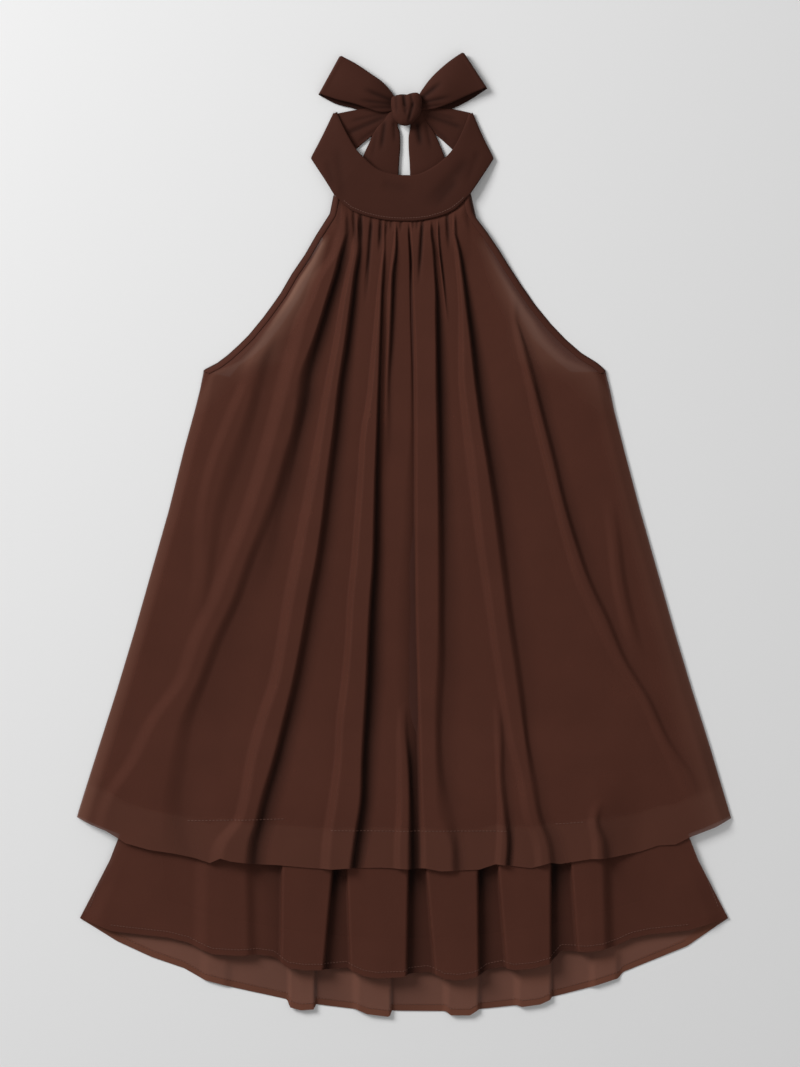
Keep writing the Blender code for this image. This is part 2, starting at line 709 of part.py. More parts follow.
def build_bow_loop(name, stations):
    """One sheet, out along the surface and back on top of itself."""
    columns = 2 * LOOP_OUT_STEPS + LOOP_TURN_STEPS
    outward = math.copysign(1.0, stations[-1][0])

    def place(column, row):
        if column <= LOOP_OUT_STEPS:
            out = column / LOOP_OUT_STEPS
            turn = 0.0
        elif column >= LOOP_OUT_STEPS + LOOP_TURN_STEPS:
            out = (columns - column) / LOOP_OUT_STEPS
            turn = 1.0
        else:
            out = 1.0
            turn = (column - LOOP_OUT_STEPS) / LOOP_TURN_STEPS
        upper_x, upper_y, lower_x, lower_y = through(stations, out * (len(stations) - 1))
        open_share = math.sin(math.pi * min(out, LOOP_SWELL_END)) ** LOOP_SWELL_POWER
        # the lower layer shows as a narrow strip along the bottom edge
        share = row / LOOP_ROWS * (1.0 - LOOP_SHOWS * open_share * turn)
        share += LOOP_SHOWS * open_share * (1.0 - turn) * (1.0 - row / LOOP_ROWS)
        at_knot, at_end = LOOP_HALF_GAP
        half_gap = at_knot + (at_end - at_knot) * smooth(0.0, LOOP_OPEN_AT, out)
        angle = math.pi * turn
        x = upper_x + (lower_x - upper_x) * share
        y = upper_y + (lower_y - upper_y) * share
        x += outward * half_gap * math.sin(angle) * LOOP_END_BULGE
        z = LOOP_Z + half_gap * (1.0 - math.cos(angle))
        z += LOOP_CROWN * math.sin(math.pi * row / LOOP_ROWS) * open_share * (turn == 1.0)
        return x, y, z

    cloth_sheet(name, columns, LOOP_ROWS, place, WALL, "band")


def build_bow_knot():
    """The knot's cloth wraps round it, with one crease over the top."""
    ball = bmesh.new()
    bmesh.ops.create_uvsphere(
        ball, u_segments=KNOT_SEGMENTS, v_segments=KNOT_RINGS, radius=1.0
    )
    for point in ball.verts:
        x, y, z = point.co
        from_crease = (x - KNOT_CREASE_X + KNOT_CREASE_LEAN * y) / KNOT_CREASE_WIDTH
        crease = KNOT_CREASE * math.exp(-(from_crease**2))
        square = 1.0 + KNOT_SQUARE * abs(x * y) * (y > 0.0)
        below = max(-y, 0.0)
        shape = (
            x * square * (1.0 - KNOT_NARROWS * below) - KNOT_LEAN * below**2,
            y * min(square, 1.0),
            z * (1.0 - crease * max(z, 0.0)),
        )
        point.co = [
            (centre + half * value) * MM
            for centre, half, value in zip(KNOT_CENTRE, KNOT_HALF, shape)
        ]
    mesh = bpy.data.meshes.new("bow_knot")
    ball.to_mesh(mesh)
    ball.free()
    mesh.shade_smooth()
    finish_part(bpy.data.objects.new("bow_knot", mesh), "bow_knot", "band")


def build_tail(name, stations):
    """A free end of the tie, hanging from the knot to behind the front band."""

    def height(along, across):
        fold = TAIL_FOLD * math.exp(-(((across - TAIL_FOLD_ACROSS) / TAIL_FOLD_WIDTH) ** 2))
        fold *= smooth(*TAIL_FOLD_RISES, along) * (1.0 - TAIL_FOLD_FADES * along)
        return TAIL_Z + fold

    strip(name, stations, TAIL_COLUMNS, TAIL_ROWS, height)


for old in list(bpy.data.objects):
    bpy.data.objects.remove(old, do_unlink=True)
dress = bpy.data.collections.new("pleated_mini_dress")
bpy.context.scene.collection.children.link(dress)

build_outer_back()
build_tier_back()
build_slip()
build_tier_front()
build_outer_front()
build_armhole_binding("armhole_binding_left", 0)
build_armhole_binding("armhole_binding_right", OUTER_COLUMNS - 1)
build_neckband_back("neckband_back_left", -1.0)
build_neckband_back("neckband_back_right", 1.0)
build_neckband_front()
build_tail("tie_tail_left", TAIL_LEFT)
build_tail("tie_tail_right", TAIL_RIGHT)
build_bow_loop("bow_loop_left", LOOP_LEFT)
build_bow_loop("bow_loop_right", LOOP_RIGHT)
build_bow_knot()
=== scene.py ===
import math

import bpy
import numpy as np
from mathutils.bvhtree import BVHTree
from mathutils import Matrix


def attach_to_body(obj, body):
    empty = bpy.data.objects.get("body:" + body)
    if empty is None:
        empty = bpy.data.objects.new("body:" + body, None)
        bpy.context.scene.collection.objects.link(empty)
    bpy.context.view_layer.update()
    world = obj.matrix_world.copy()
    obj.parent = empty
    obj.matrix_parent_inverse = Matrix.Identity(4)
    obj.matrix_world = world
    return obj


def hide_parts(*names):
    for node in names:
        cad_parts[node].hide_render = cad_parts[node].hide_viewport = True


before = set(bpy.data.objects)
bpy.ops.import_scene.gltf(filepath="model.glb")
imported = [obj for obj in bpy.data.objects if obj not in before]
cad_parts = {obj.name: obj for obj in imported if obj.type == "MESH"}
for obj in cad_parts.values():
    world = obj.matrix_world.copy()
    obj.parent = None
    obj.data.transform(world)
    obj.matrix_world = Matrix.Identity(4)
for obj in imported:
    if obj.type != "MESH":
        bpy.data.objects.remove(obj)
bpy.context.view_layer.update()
print("frame loaded")

# lengths below are millimetres in the frame: X to the right, Y from hem to neck, Z up from the floor
mm = 0.001


def smooth(start, end, value):
    share = np.clip((value - start) / (end - start), 0.0, 1.0)
    return share * share * (3.0 - 2.0 * share)


def bend(keys, values, at):
    # a curve that runs smoothly through values at keys
    keys = np.asarray(keys, float)
    values = np.asarray(values, float)
    if keys[0] > keys[-1]:
        keys = keys[::-1]
        values = values[::-1]
    at = np.clip(at, keys[0], keys[-1])
    slopes = np.gradient(values, keys)
    index = np.clip(np.searchsorted(keys, at, side="right") - 1, 0, len(keys) - 2)
    step = keys[index + 1] - keys[index]
    t = (at - keys[index]) / step
    return (
        (2 * t**3 - 3 * t**2 + 1) * values[index]
        + (t**3 - 2 * t**2 + t) * step * slopes[index]
        + (3 * t**2 - 2 * t**3) * values[index + 1]
        + (t**3 - t**2) * step * slopes[index + 1]
    )


def straight(table, at):
    # second column of a table read at its first
    table = np.asarray(table, float)
    if table[0, 0] > table[-1, 0]:
        table = table[::-1]
    return np.interp(at, table[:, 0], table[:, 1])


def alongStations(stations, share, breaks=()):
    # the columns of stations at shares 0 to 1 along them, with a corner at each break
    stations = np.asarray(stations, float)
    last = len(stations) - 1
    position = np.asarray(share) * last
    ends = [0, *breaks, last]
    out = np.zeros((len(position), stations.shape[1]))
    for start, end in zip(ends[:-1], ends[1:]):
        inside = (position >= start) & (position <= end)
        keys = np.arange(start, end + 1)
        for column in range(stations.shape[1]):
            out[inside, column] = bend(keys, stations[start : end + 1, column], position[inside])
    return out


# surfaces

# in each look the second colour is painted shade, mixed into creases, and the third is painted light, mixed
# in where one layer lies over the pale ground
clothLook = {
    # matt crepe chiffon, a little see-through
    "chiffon": {
        "colour": "#532e23", "fold": "#180a06", "thin": "#97705f",
        "cover": 0.88, "roughness": 0.85, "sheen": 0.06,
    },
    # one layer alone over the pale ground: a lighter copy of the chiffon, painted light for what comes back
    # from the ground through it
    "chiffonSinglePaintedLight": {
        "colour": "#6f4536", "fold": "#3a1f17", "thin": "#97705f",
        "cover": 0.88, "roughness": 0.85, "sheen": 0.06,
    },
    # hems and bindings, folded double
    "chiffonFolded": {
        "colour": "#4d2a20", "fold": "#180a06", "thin": "#6f4536",
        "cover": 0.97, "roughness": 0.85, "sheen": 0.06,
    },
    # closely woven, darker and not see-through
    "lining": {
        "colour": "#40221a", "fold": "#150a07", "thin": "#40221a",
        "cover": 1.0, "roughness": 0.7, "sheen": 0.03,
    },
    # chiffon over an interlining, matt
    "bandCloth": {
        "colour": "#42231a", "fold": "#1a0a06", "thin": "#5a3528",
        "cover": 1.0, "roughness": 0.85, "sheen": 0.06,
    },
}
threadLook = {"colour": "#5e3b2f", "roughness": 0.6}
floorLook = {"colour": "#e6e6e6", "roughness": 0.75}


def hexColour(code):
    channels = [int(code[i : i + 2], 16) / 255 for i in (1, 3, 5)]
    return (*[c / 12.92 if c <= 0.04045 else ((c + 0.055) / 1.055) ** 2.4 for c in channels], 1.0)


def addNode(tree, kind, settings=(), links=()):
    node = tree.nodes.new(kind)
    for key, value in dict(settings).items():
        if isinstance(key, int) or key in node.inputs:
            node.inputs[key].default_value = value
        else:
            setattr(node, key, value)
    for key, source in dict(links).items():
        tree.links.new(source, node.inputs[key])
    return node


def newMaterial(name):
    material = bpy.data.materials.new(name)
    material.use_nodes = True
    tree = material.node_tree
    return material, tree, tree.nodes["Principled BSDF"]


def clothMaterial(name):
    look = clothLook[name]
    material, tree, shader = newMaterial(name)
    place = addNode(tree, "ShaderNodeTexCoord").outputs["Object"]
    crease = addNode(tree, "ShaderNodeAttribute", {"attribute_name": "crease"}).outputs["Fac"]
    thin = addNode(tree, "ShaderNodeAttribute", {"attribute_name": "thin"}).outputs["Fac"]
    # uneven dye and the slight slub of crepe threads break the flat brown up
    cloudy = addNode(tree, "ShaderNodeTexNoise", {"Scale": 26.0, "Detail": 3.0}, {"Vector": place})
    grey = addNode(tree, "ShaderNodeRGBToBW", (), {0: cloudy.outputs["Color"]})
    worn = addNode(
        tree,
        "ShaderNodeMix",
        {"data_type": "RGBA", "blend_type": "MULTIPLY", 0: 0.22, 6: hexColour(look["colour"])},
        {7: grey.outputs[0]},
    )
    # light comes back from the pale ground through a single layer and lifts its colour
    lifted = addNode(
        tree,
        "ShaderNodeMix",
        {"data_type": "RGBA", 7: hexColour(look["thin"])},
        {0: thin, 6: worn.outputs[2]},
    )
    # little light reaches the bottom of a deep crease
    folded = addNode(
        tree,
        "ShaderNodeMix",
        {"data_type": "RGBA", 7: hexColour(look["fold"])},
        {0: crease, 6: lifted.outputs[2]},
    )
    tree.links.new(folded.outputs[2], shader.inputs["Base Color"])
    # crepe's crinkle is about 0.5 mm and is drawn at 1.6 mm, so that it shows at this distance
    crinkle = addNode(
        tree, "ShaderNodeTexNoise", {"Scale": 620.0, "Detail": 2.0, "Roughness": 0.6}, {"Vector": place}
    )
    bump = addNode(
        tree,
        "ShaderNodeBump",
        {"Strength": 0.35, "Distance": 0.0004},
        {"Height": crinkle.outputs[0]},
    )
    tree.links.new(bump.outputs[0], shader.inputs["Normal"])
    shader.inputs["Roughness"].default_value = look["roughness"]
    shader.inputs["Specular IOR Level"].default_value = 0.12
    shader.inputs["Sheen Weight"].default_value = look["sheen"]
    shader.inputs["Sheen Roughness"].default_value = 0.5
    shader.inputs["Sheen Tint"].default_value = hexColour("#a36f5c")
    shader.inputs["Alpha"].default_value = look["cover"]
    return material


cloth = {name: clothMaterial(name) for name in clothLook}
thread, threadTree, threadShader = newMaterial("sewingThread")
threadShader.inputs["Base Color"].default_value = hexColour(threadLook["colour"])
threadShader.inputs["Roughness"].default_value = threadLook["roughness"]
print("surfaces made")

# building blocks


def linkPiece(name, mesh, material):
    mesh.materials.append(material)
    piece = bpy.data.objects.new(name, mesh)
    bpy.context.scene.collection.objects.link(piece)
    return piece


def gridFaces(rows, columns, first=0):
    index = first + np.arange(rows * columns).reshape(rows, columns)
    corners = (index[:-1, :-1], index[:-1, 1:], index[1:, 1:], index[1:, :-1])
    return np.stack([c.ravel() for c in corners], 1)


def buildMesh(name, points, faces, fields):
    mesh = bpy.data.meshes.new(name)
    mesh.from_pydata((points * mm).tolist(), [], faces.tolist())
    for field, values in fields.items():
        mesh.attributes.new(field, "FLOAT", "POINT").data.foreach_set(
            "value", np.asarray(values, np.float32).ravel()
        )
    mesh.shade_smooth()
    return mesh


def buildSheet(name, points, material, crease=0.0, thin=0.0, wall=0.0):
    # a grid of points, rows by columns, as one layer of cloth that faces up
    rows, columns = points.shape[:2]
    faces = gridFaces(rows, columns)
    middle = points[rows // 2, columns // 2]
    across = points[rows // 2, columns // 2 + 1] - middle
    down = points[rows // 2 + 1, columns // 2] - middle
    if np.cross(across, down)[2] < 0:
        faces = faces[:, ::-1]
    fields = {"crease": crease, "thin": thin}
    for key, value in fields.items():
        fields[key] = np.broadcast_to(np.clip(value, 0.0, 1.0), (rows, columns))
    mesh = buildMesh(name, points.reshape(-1, 3), faces, fields)
    piece = linkPiece(name, mesh, material)
    if wall:
        thicken = piece.modifiers.new("cloth wall", "SOLIDIFY")
        thicken.thickness = wall * mm
        thicken.offset = 1.0
    return piece


def flatLayer(name, outline, z, material):
    points = np.array([(x, y, z) for x, y in outline], float)
    none = np.zeros(len(points))
    mesh = buildMesh(name, points, np.arange(len(points))[None, :], {"crease": none, "thin": none})
    return linkPiece(name, mesh, material)


def attach(piece, nodes=()):
    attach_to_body(piece, "root")
    if nodes:
        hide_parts(*nodes)
    return piece


stitchLook = {
    "radius": 0.34,
    "sides": 6,
    "lift": 0.12,
    # share of the length, share of the radius
    "sections": ((0.0, 0.3), (0.2, 1.0), (0.8, 1.0), (1.0, 0.3)),
}


def stitchRows(name, rows, surface, length, gap):
    # raised stitches of thread along rows of points, laid on a sheet's surface
    points = []
    faces = []
    sides = stitchLook["sides"]
    angles = np.arange(sides) * 2.0 * np.pi / sides
    upward = np.array([0.0, 0.0, 1.0])
    for row in rows:
        row = np.asarray(row, float)
        run = np.concatenate([[0.0], np.cumsum(np.hypot(*np.diff(row, axis=0).T))])
        for start in np.arange(0.0, run[-1] - length, length + gap):
            at = [start + share * length for share, _ in stitchLook["sections"]]
            places = np.stack([np.interp(at, run, row[:, 0]), np.interp(at, run, row[:, 1])], -1)
            hits = [surface.ray_cast((*place, 80.0), (0.0, 0.0, -1.0))[0] for place in places]
            if None in hits:
                continue
            ahead = (places[-1] - places[0]) / np.linalg.norm(places[-1] - places[0])
            aside = np.array([-ahead[1], ahead[0], 0.0])
            first = len(points)
            for hit, (_, swell) in zip(hits, stitchLook["sections"]):
                reach = stitchLook["radius"] * swell
                centre = np.array(hit) + np.array([0.0, 0.0, stitchLook["lift"]])
                points += [centre + reach * (np.cos(a) * aside + np.sin(a) * upward) for a in angles]
            for ring in range(len(hits) - 1):
                for side in range(sides):
                    a, b = first + ring * sides + side, first + ring * sides + (side + 1) % sides
                    faces.append([a, a + sides, b + sides, b])
            faces.append([first + k for k in range(sides)])
            faces.append([first + (len(hits) - 1) * sides + k for k in reversed(range(sides))])
    mesh = bpy.data.meshes.new(name)
    mesh.from_pydata((np.array(points) * mm).tolist(), [], faces)
    mesh.shade_smooth()
    return linkPiece(name, mesh, thread)


def surfaceOf(points, lift=0.0):
    raised = points.reshape(-1, 3) + np.array([0.0, 0.0, lift])
    return BVHTree.FromPolygons(raised.tolist(), gridFaces(*points.shape[:2]).tolist())


def creaseLines(x, y, lines):
    # how deep each crease of a table makes the cloth at x, y, and how much painted shade it gets
    depth = np.zeros_like(x)
    dark = np.zeros_like(x)
    for x1, y1, x2, y2, width, deep, shade in lines:
        dx, dy = x2 - x1, y2 - y1
        length = math.hypot(dx, dy)
        along = ((x - x1) * dx + (y - y1) * dy) / length
        aside = ((x - x1) * dy - (y - y1) * dx) / length
        fade = smooth(-0.15 * length, 0.12 * length, along) * smooth(1.1 * length, 0.6 * length, along)
        bell = np.exp(-((aside / width) ** 2)) * fade
        depth += deep * bell
        dark += shade * bell
    return depth, dark


# outer front

outerFront = {
    "columns": 440,
    "rows": 200,
    "topY": 341.2,
    "bottomY": -282.0,
    "height": 5.8,
    "edgeRamp": 9.5,
    "tierStep": 1.5,
    "bridge": 8.0,
}
# y and x of the panel's two edges
leftEdge = (
    (343, -70.5), (341, -70), (321, -74), (299, -88), (280, -99), (261, -112), (242, -123),
    (232, -130), (217, -141), (200, -155), (190, -165), (180, -176), (172, -186.5), (165, -200),
    (145, -204), (125, -209), (85, -220), (25, -235), (-35, -252), (-95, -269), (-155, -287),
    (-215, -306), (-275, -325), (-282, -327),
)
rightEdge = (
    (343, 66.5), (334, 66), (323, 68.6), (316, 72.4), (304, 81.6), (286, 94), (269, 104.6),
    (251.5, 116), (230, 131), (211, 146.6), (195, 162), (182, 177), (172.4, 192.5), (165, 201),
    (145, 206), (125, 210), (85, 220), (25, 236), (-35, 253), (-95, 270), (-155, 288), (-215, 307),
    (-275, 325), (-282, 327),
)
# how the sections sag between their ends, how square they are, how low the edge lies,
# and how far the columns spread so that they follow the folds
sections = (
    # y, sag, squareness, edge z, spread
    (343, 26.0, 2.8, 6.0, 0.5),
    (299, 29.0, 2.8, 5.2, 0.4),
    (280, 30.0, 2.8, 3.8, 0.3),
    (261, 31.0, 2.8, 2.4, 0.2),
    (232, 32.0, 2.8, 1.2, 0.12),
    (200, 33.0, 2.8, 0.8, 0.02),
    (180, 34.0, 2.8, 1.0, -0.07),
    (165, 35.0, 2.8, 1.8, -0.14),
    (145, 36.0, 2.8, 1.9, -0.13),
    (25, 40.0, 3.0, 1.9, -0.08),
    (-95, 44.0, 3.3, 1.9, -0.02),
    (-215, 48.0, 3.6, 1.9, 0.05),
    (-282, 50.0, 3.8, 1.9, 0.1),
)
outerHem = (
    (-327, -282), (-312, -289.6), (-298, -295), (-288, -301), (-278, -307.5), (-255, -314),
    (-229, -318), (-209, -322), (-193.5, -327), (-183, -322), (-173, -325), (-149, -328), (-126, -329),
    (-92, -332), (-71, -333), (-55, -332), (-23, -331.5), (5, -333), (21, -332), (37, -335),
    (75, -333.5), (91.6, -328), (127, -332), (146, -326.5), (155, -328), (186, -323), (202.5, -322.5),
    (236, -316), (254, -310), (271, -309), (287.5, -301), (311, -292), (327, -283),
)

# Long folds. The cloth climbs from foot to crest, stays up to brow and drops to line; painted shade over
# the drop starts at brow, is deepest at line and dies away by end.
longFolds = {
    "a": (
        # y, foot, crest, brow, line, end, rise, shade
        (300, -70, -64, -60, -56.5, -52, 3.0, 0.6),
        (277, -78, -68, -67, -62, -53, 5.0, 1.0),
        (261, -92, -78, -71, -66, -56, 6.0, 1.0),
        (235, -101, -88, -79, -74, -63, 7.0, 1.0),
        (215, -111, -96, -85, -80, -68, 7.0, 0.95),
        (195, -117, -101, -92, -85.5, -72, 7.0, 0.85),
        (155, -128, -112, -107, -95, -83, 7.0, 0.7),
        (135, -133, -117, -109, -97.5, -84, 7.0, 0.7),
        (105, -141, -125, -114, -104, -90, 6.5, 0.55),
        (55, -155, -139, -128, -115, -98, 4.0, 0.38),
        (15, -168, -152, -137, -125, -106, 2.0, 0.2),
        (-5, -175, -159, -142, -128, -110, 1.5, 0.18),
        (-65, -198, -182, -160, -145, -128, 0.0, 0.0),
    ),
    "aLeft": (
        (105, -141, -125, -118, -112, -104, 0.0, 0.0),
        (55, -155, -139, -130, -121, -112, 2.0, 0.2),
        (15, -168, -152, -144, -134, -118, 3.0, 0.22),
        (-25, -184, -168, -160, -150, -128, 3.5, 0.24),
        (-65, -199, -183, -174, -164, -130, 4.0, 0.2),
        (-105, -218, -202, -193, -182, -140, 4.0, 0.2),
        (-145, -232, -216, -208, -197, -150, 4.0, 0.18),
        (-185, -260, -244, -226, -212, -165, 4.0, 0.16),
        (-225, -280, -264, -236, -219, -175, 4.0, 0.14),
        (-265, -306, -290, -242, -224, -180, 3.5, 0.16),
        (-335, -318, -300, -240, -212, -180, 3.5, 0.2),
    ),
    "leftSoft": (
        (200, -144, -134, -133, -126, -114, 0.0, 0.0),
        (175, -160, -150, -146, -136, -122, 2.5, 0.22),
        (155, -166, -154, -151, -141, -126, 3.0, 0.18),
        (115, -183, -170, -163, -151, -136, 3.0, 0.16),
        (75, -198, -186, -178, -163, -145, 3.0, 0.12),
        (35, -208, -196, -190, -177, -155, 2.5, 0.06),
        (-45, -214, -200, -200, -192, -180, 1.5, 0.04),
        (-85, -220, -208, -206, -198, -186, 0.0, 0.0),
    ),
    "b": (
        (300, -50, -47, -47, -45, -42.5, 2.0, 0.7),
        (285, -54, -49, -47, -43.5, -40, 3.5, 0.8),
        (277, -55, -50, -48.5, -44, -41, 4.5, 0.95),
        (261, -59, -53, -51, -47, -42, 5.5, 1.0),
        (235, -64, -58, -54.5, -50, -43.5, 6.5, 1.0),
        (195, -71, -64, -60, -55, -46.5, 7.0, 0.95),
        (155, -79, -71, -66, -61.5, -49, 7.0, 0.85),
        (105, -88, -79, -72, -67, -52, 7.0, 0.75),
        (55, -98, -86, -79, -72.5, -57, 7.0, 0.62),
        (15, -106, -94, -83, -78.5, -61, 7.0, 0.55),
        (-25, -114, -101, -89, -84, -67, 7.0, 0.5),
        (-65, -122, -109, -97, -91, -72, 7.0, 0.48),
        (-105, -128, -116, -104, -98.5, -81, 7.0, 0.5),
        (-145, -136, -123, -112, -106.5, -89, 7.0, 0.55),
        (-185, -149, -136, -122, -116, -99, 7.0, 0.7),
        (-225, -159, -147, -132.5, -126, -108, 7.0, 0.8),
        (-265, -166, -154, -145, -137, -118, 6.5, 0.8),
        (-285, -172, -160, -150, -142, -124, 6.5, 0.8),
        (-305, -190, -174, -157, -147, -130, 6.5, 0.75),
        (-335, -198, -182, -161, -150, -134, 6.0, 0.75),
    ),
    "c": (
        (285, -22, -20, -20, -18.5, -17, 1.0, 0.3),
        (269, -24, -22, -21.5, -19.2, -17.5, 3.0, 0.55),
        (245, -27, -24, -23, -21, -19, 4.0, 0.85),
        (215, -30, -25, -24.2, -22, -20, 5.0, 0.85),
        (175, -34, -28, -25.5, -23.3, -21.3, 6.0, 0.85),
        (135, -38, -32, -27, -24.5, -22, 7.0, 0.95),
        (105, -43, -37, -28, -25.3, -21.5, 8.0, 1.0),
        (55, -47, -40, -30, -26.7, -20, 8.0, 1.0),
        (15, -50, -43, -31, -27.6, -18.5, 8.0, 1.0),
        (-25, -53, -46, -32, -28.7, -17, 8.0, 1.0),
        (-65, -57, -50, -35, -31, -17, 8.0, 1.0),
        (-105, -59, -52, -37, -33.3, -16, 8.0, 1.0),
        (-145, -63, -55, -38.5, -35, -16.5, 8.0, 1.0),
        (-185, -68, -60, -41, -37, -20, 8.0, 1.0),
        (-225, -70, -62, -43, -39.5, -23, 8.0, 1.0),
        (-265, -76, -66, -44.5, -41, -26, 8.0, 1.0),
        (-305, -82, -72, -51, -47, -32, 8.0, 1.0),
        (-335, -84, -74, -55, -51, -38, 8.0, 1.0),
    ),
    "d": (
        (300, -10, -8.6, -8.4, -7, -5.4, 2.0, 0.8),
        (285, -12, -9.6, -9, -7.2, -5, 3.0, 1.0),
        (261, -14.5, -13, -12.3, -10, -5.5, 4.0, 1.0),
        (235, -17, -14, -13.5, -11, -6, 4.0, 0.95),
        (195, -18, -15.5, -15, -12.3, -8, 3.5, 0.7),
        (155, -20, -17, -17, -14, -9, 2.0, 0.35),
        (115, -21, -18, -18, -14, -9, 1.0, 0.18),
        (75, -21, -18, -18, -14, -9, 0.0, 0.0),
    ),
    "centrePleat": (
        (300, 5.5, 8, 26, 28, 30.5, 3.0, 0.7),
        (285, 6.5, 9, 28, 30.2, 32, 4.0, 0.8),
        (269, 7.5, 9.5, 29, 31.3, 33, 4.0, 0.85),
        (245, 8, 10, 30.5, 33, 36, 5.0, 0.95),
        (215, 9, 11.5, 30.5, 34, 41, 6.0, 1.0),
        (195, 10, 12, 31, 34, 44, 6.0, 1.0),
        (155, 10.5, 13, 31, 35, 47, 6.5, 1.0),
        (115, 10.8, 13, 31.5, 36, 49, 6.5, 0.9),
        (75, 10.8, 13, 32.5, 37, 50, 6.5, 0.8),
        (35, 10.8, 13, 33, 38, 53, 6.0, 0.7),
        (-5, 10.8, 13, 33, 39, 56, 6.0, 0.55),
        (-45, 11, 13.3, 33, 39.5, 60, 5.5, 0.48),
        (-85, 11.5, 14, 33, 39.5, 60, 5.0, 0.42),
        (-125, 12.5, 15, 32, 40, 62, 4.5, 0.36),
        (-165, 14, 16, 30, 38, 60, 4.0, 0.3),
        (-205, 15.3, 17, 30, 37, 60, 4.0, 0.26),
        (-245, 16, 18, 31, 40, 57, 4.0, 0.28),
        (-285, 17, 19.5, 34, 49, 64, 4.0, 0.18),
        (-305, 18, 20.5, 44, 52.5, 62, 4.0, 0.3),
        (-335, 18, 21, 46, 54, 64, 4.0, 0.4),
    ),
    "shortRight": (
        (300, 32.5, 33.6, 33.6, 35, 37, 1.5, 0.7),
        (285, 34, 34.5, 34.5, 36, 38, 2.0, 0.95),
        (265, 36, 36.8, 36.8, 38.5, 40.5, 2.0, 0.95),
        (245, 38.5, 39.2, 39.2, 41, 43.2, 1.5, 0.55),
        (230, 40, 41, 41, 42.5, 45, 0.8, 0.3),
        (212, 42, 43, 43, 45, 47, 0.0, 0.0),
    ),
    "g": (
        (300, 48, 50, 50, 52, 54.3, 2.5, 0.75),
        (285, 50, 53, 53.5, 56, 58.5, 4.0, 0.95),
        (261, 52, 56, 57, 60, 64.5, 5.0, 1.0),
        (235, 54, 58, 60, 63.3, 70, 6.0, 1.0),
        (195, 54, 60, 65, 68.5, 79, 6.5, 0.95),
        (155, 54, 61, 69.5, 73, 88, 6.5, 0.85),
        (115, 57, 66, 74.5, 79, 95, 6.5, 0.72),
        (75, 61, 72, 81, 86, 103, 6.5, 0.6),
        (35, 66, 76, 87, 93, 111, 6.5, 0.45),
        (-5, 71, 80, 92, 99, 119, 6.0, 0.36),
        (-45, 77, 86, 97, 104, 128, 5.5, 0.28),
        (-85, 83, 91, 102, 109, 136, 5.0, 0.22),
        (-125, 89, 97, 108, 115, 140, 4.5, 0.2),
        (-165, 95, 103, 114, 120, 137, 4.5, 0.2),
        (-205, 102, 110, 120, 124, 135, 4.5, 0.22),
        (-245, 112, 120, 125, 132, 146, 4.0, 0.2),
        (-285, 119, 127, 133, 139, 153, 4.0, 0.32),
        (-305, 127, 135, 140, 147, 165, 4.0, 0.3),
        (-335, 130, 138, 144, 151, 168, 4.0, 0.4),
    ),
    "h": (
        (215, 106, 110, 111, 113.5, 118, 1.0, 0.15),
        (195, 110, 115, 117, 119.5, 129, 2.5, 0.3),
        (175, 115, 120, 121.5, 126, 137, 3.5, 0.38),
        (155, 120, 126, 127, 131, 144, 4.0, 0.45),
        (115, 128, 134, 137, 141.5, 153, 4.5, 0.45),
        (75, 138, 144, 147, 152, 164, 4.5, 0.4),
        (35, 148, 154, 157, 161, 175, 4.5, 0.33),
        (-5, 158, 164, 168.5, 173, 188, 4.5, 0.28),
        (-45, 170, 177, 182, 187, 205, 4.0, 0.18),
        (-85, 188, 195, 200, 206, 222, 4.0, 0.14),
        (-125, 208, 215, 218, 223, 238, 3.5, 0.12),
        (-165, 234, 239, 242, 247, 262, 3.0, 0.12),
        (-205, 252, 258, 261, 266, 285, 2.5, 0.1),
        (-245, 270, 280, 285, 292, 305, 1.5, 0.04),
        (-265, 280, 288, 292, 298, 310, 0.0, 0.0),
    ),
    "farRight": (
        (35, 196, 204, 206, 211, 222, 0.0, 0.0),
        (-5, 202, 209, 211, 217, 230, 2.0, 0.08),
        (-45, 206, 213, 216, 222, 236, 2.5, 0.08),
        (-85, 214, 222, 224, 231, 245, 2.5, 0.06),
        (-125, 226, 234, 236, 243, 255, 0.0, 0.0),
    ),
    "hemCrease": (
        (-170, -6, -2, 0, 3, 8, 0.0, 0.0),
        (-200, -8, -3, 0, 4, 14, 2.0, 0.4),
        (-222, -8, -2, 2.5, 6, 15, 3.5, 0.85),
        (-245, -8, -2, 4, 7, 16, 4.0, 1.0),
        (-275, -8, -2, 4.5, 8, 17, 5.0, 1.0),
        (-305, -10, -4, 3.5, 8.5, 19, 6.0, 1.0),
        (-335, -10, -4, 3, 9, 19, 6.0, 1.0),
    ),
    "gHem": (
        (-165, 88, 92, 93, 97, 103, 0.0, 0.0),
        (-205, 90, 94, 95.5, 99.5, 105, 2.0, 0.25),
        (-245, 92, 95, 95, 100.5, 110, 3.0, 0.3),
        (-275, 93, 98, 98, 103.5, 113, 4.0, 0.35),
        (-305, 92, 97, 101.5, 105.5, 112, 5.0, 0.75),
        (-335, 90, 95, 99.5, 103.5, 110, 5.0, 0.85),
    ),
    "cornerHem": (
        (-265, 188, 194, 196, 201, 212, 0.0, 0.0),
        (-285, 182, 190, 190, 195, 212, 2.5, 0.15),
        (-305, 186, 193, 195, 202, 214, 3.5, 0.3),
        (-335, 186, 193, 196, 204, 214, 4.0, 0.4),
    ),
}
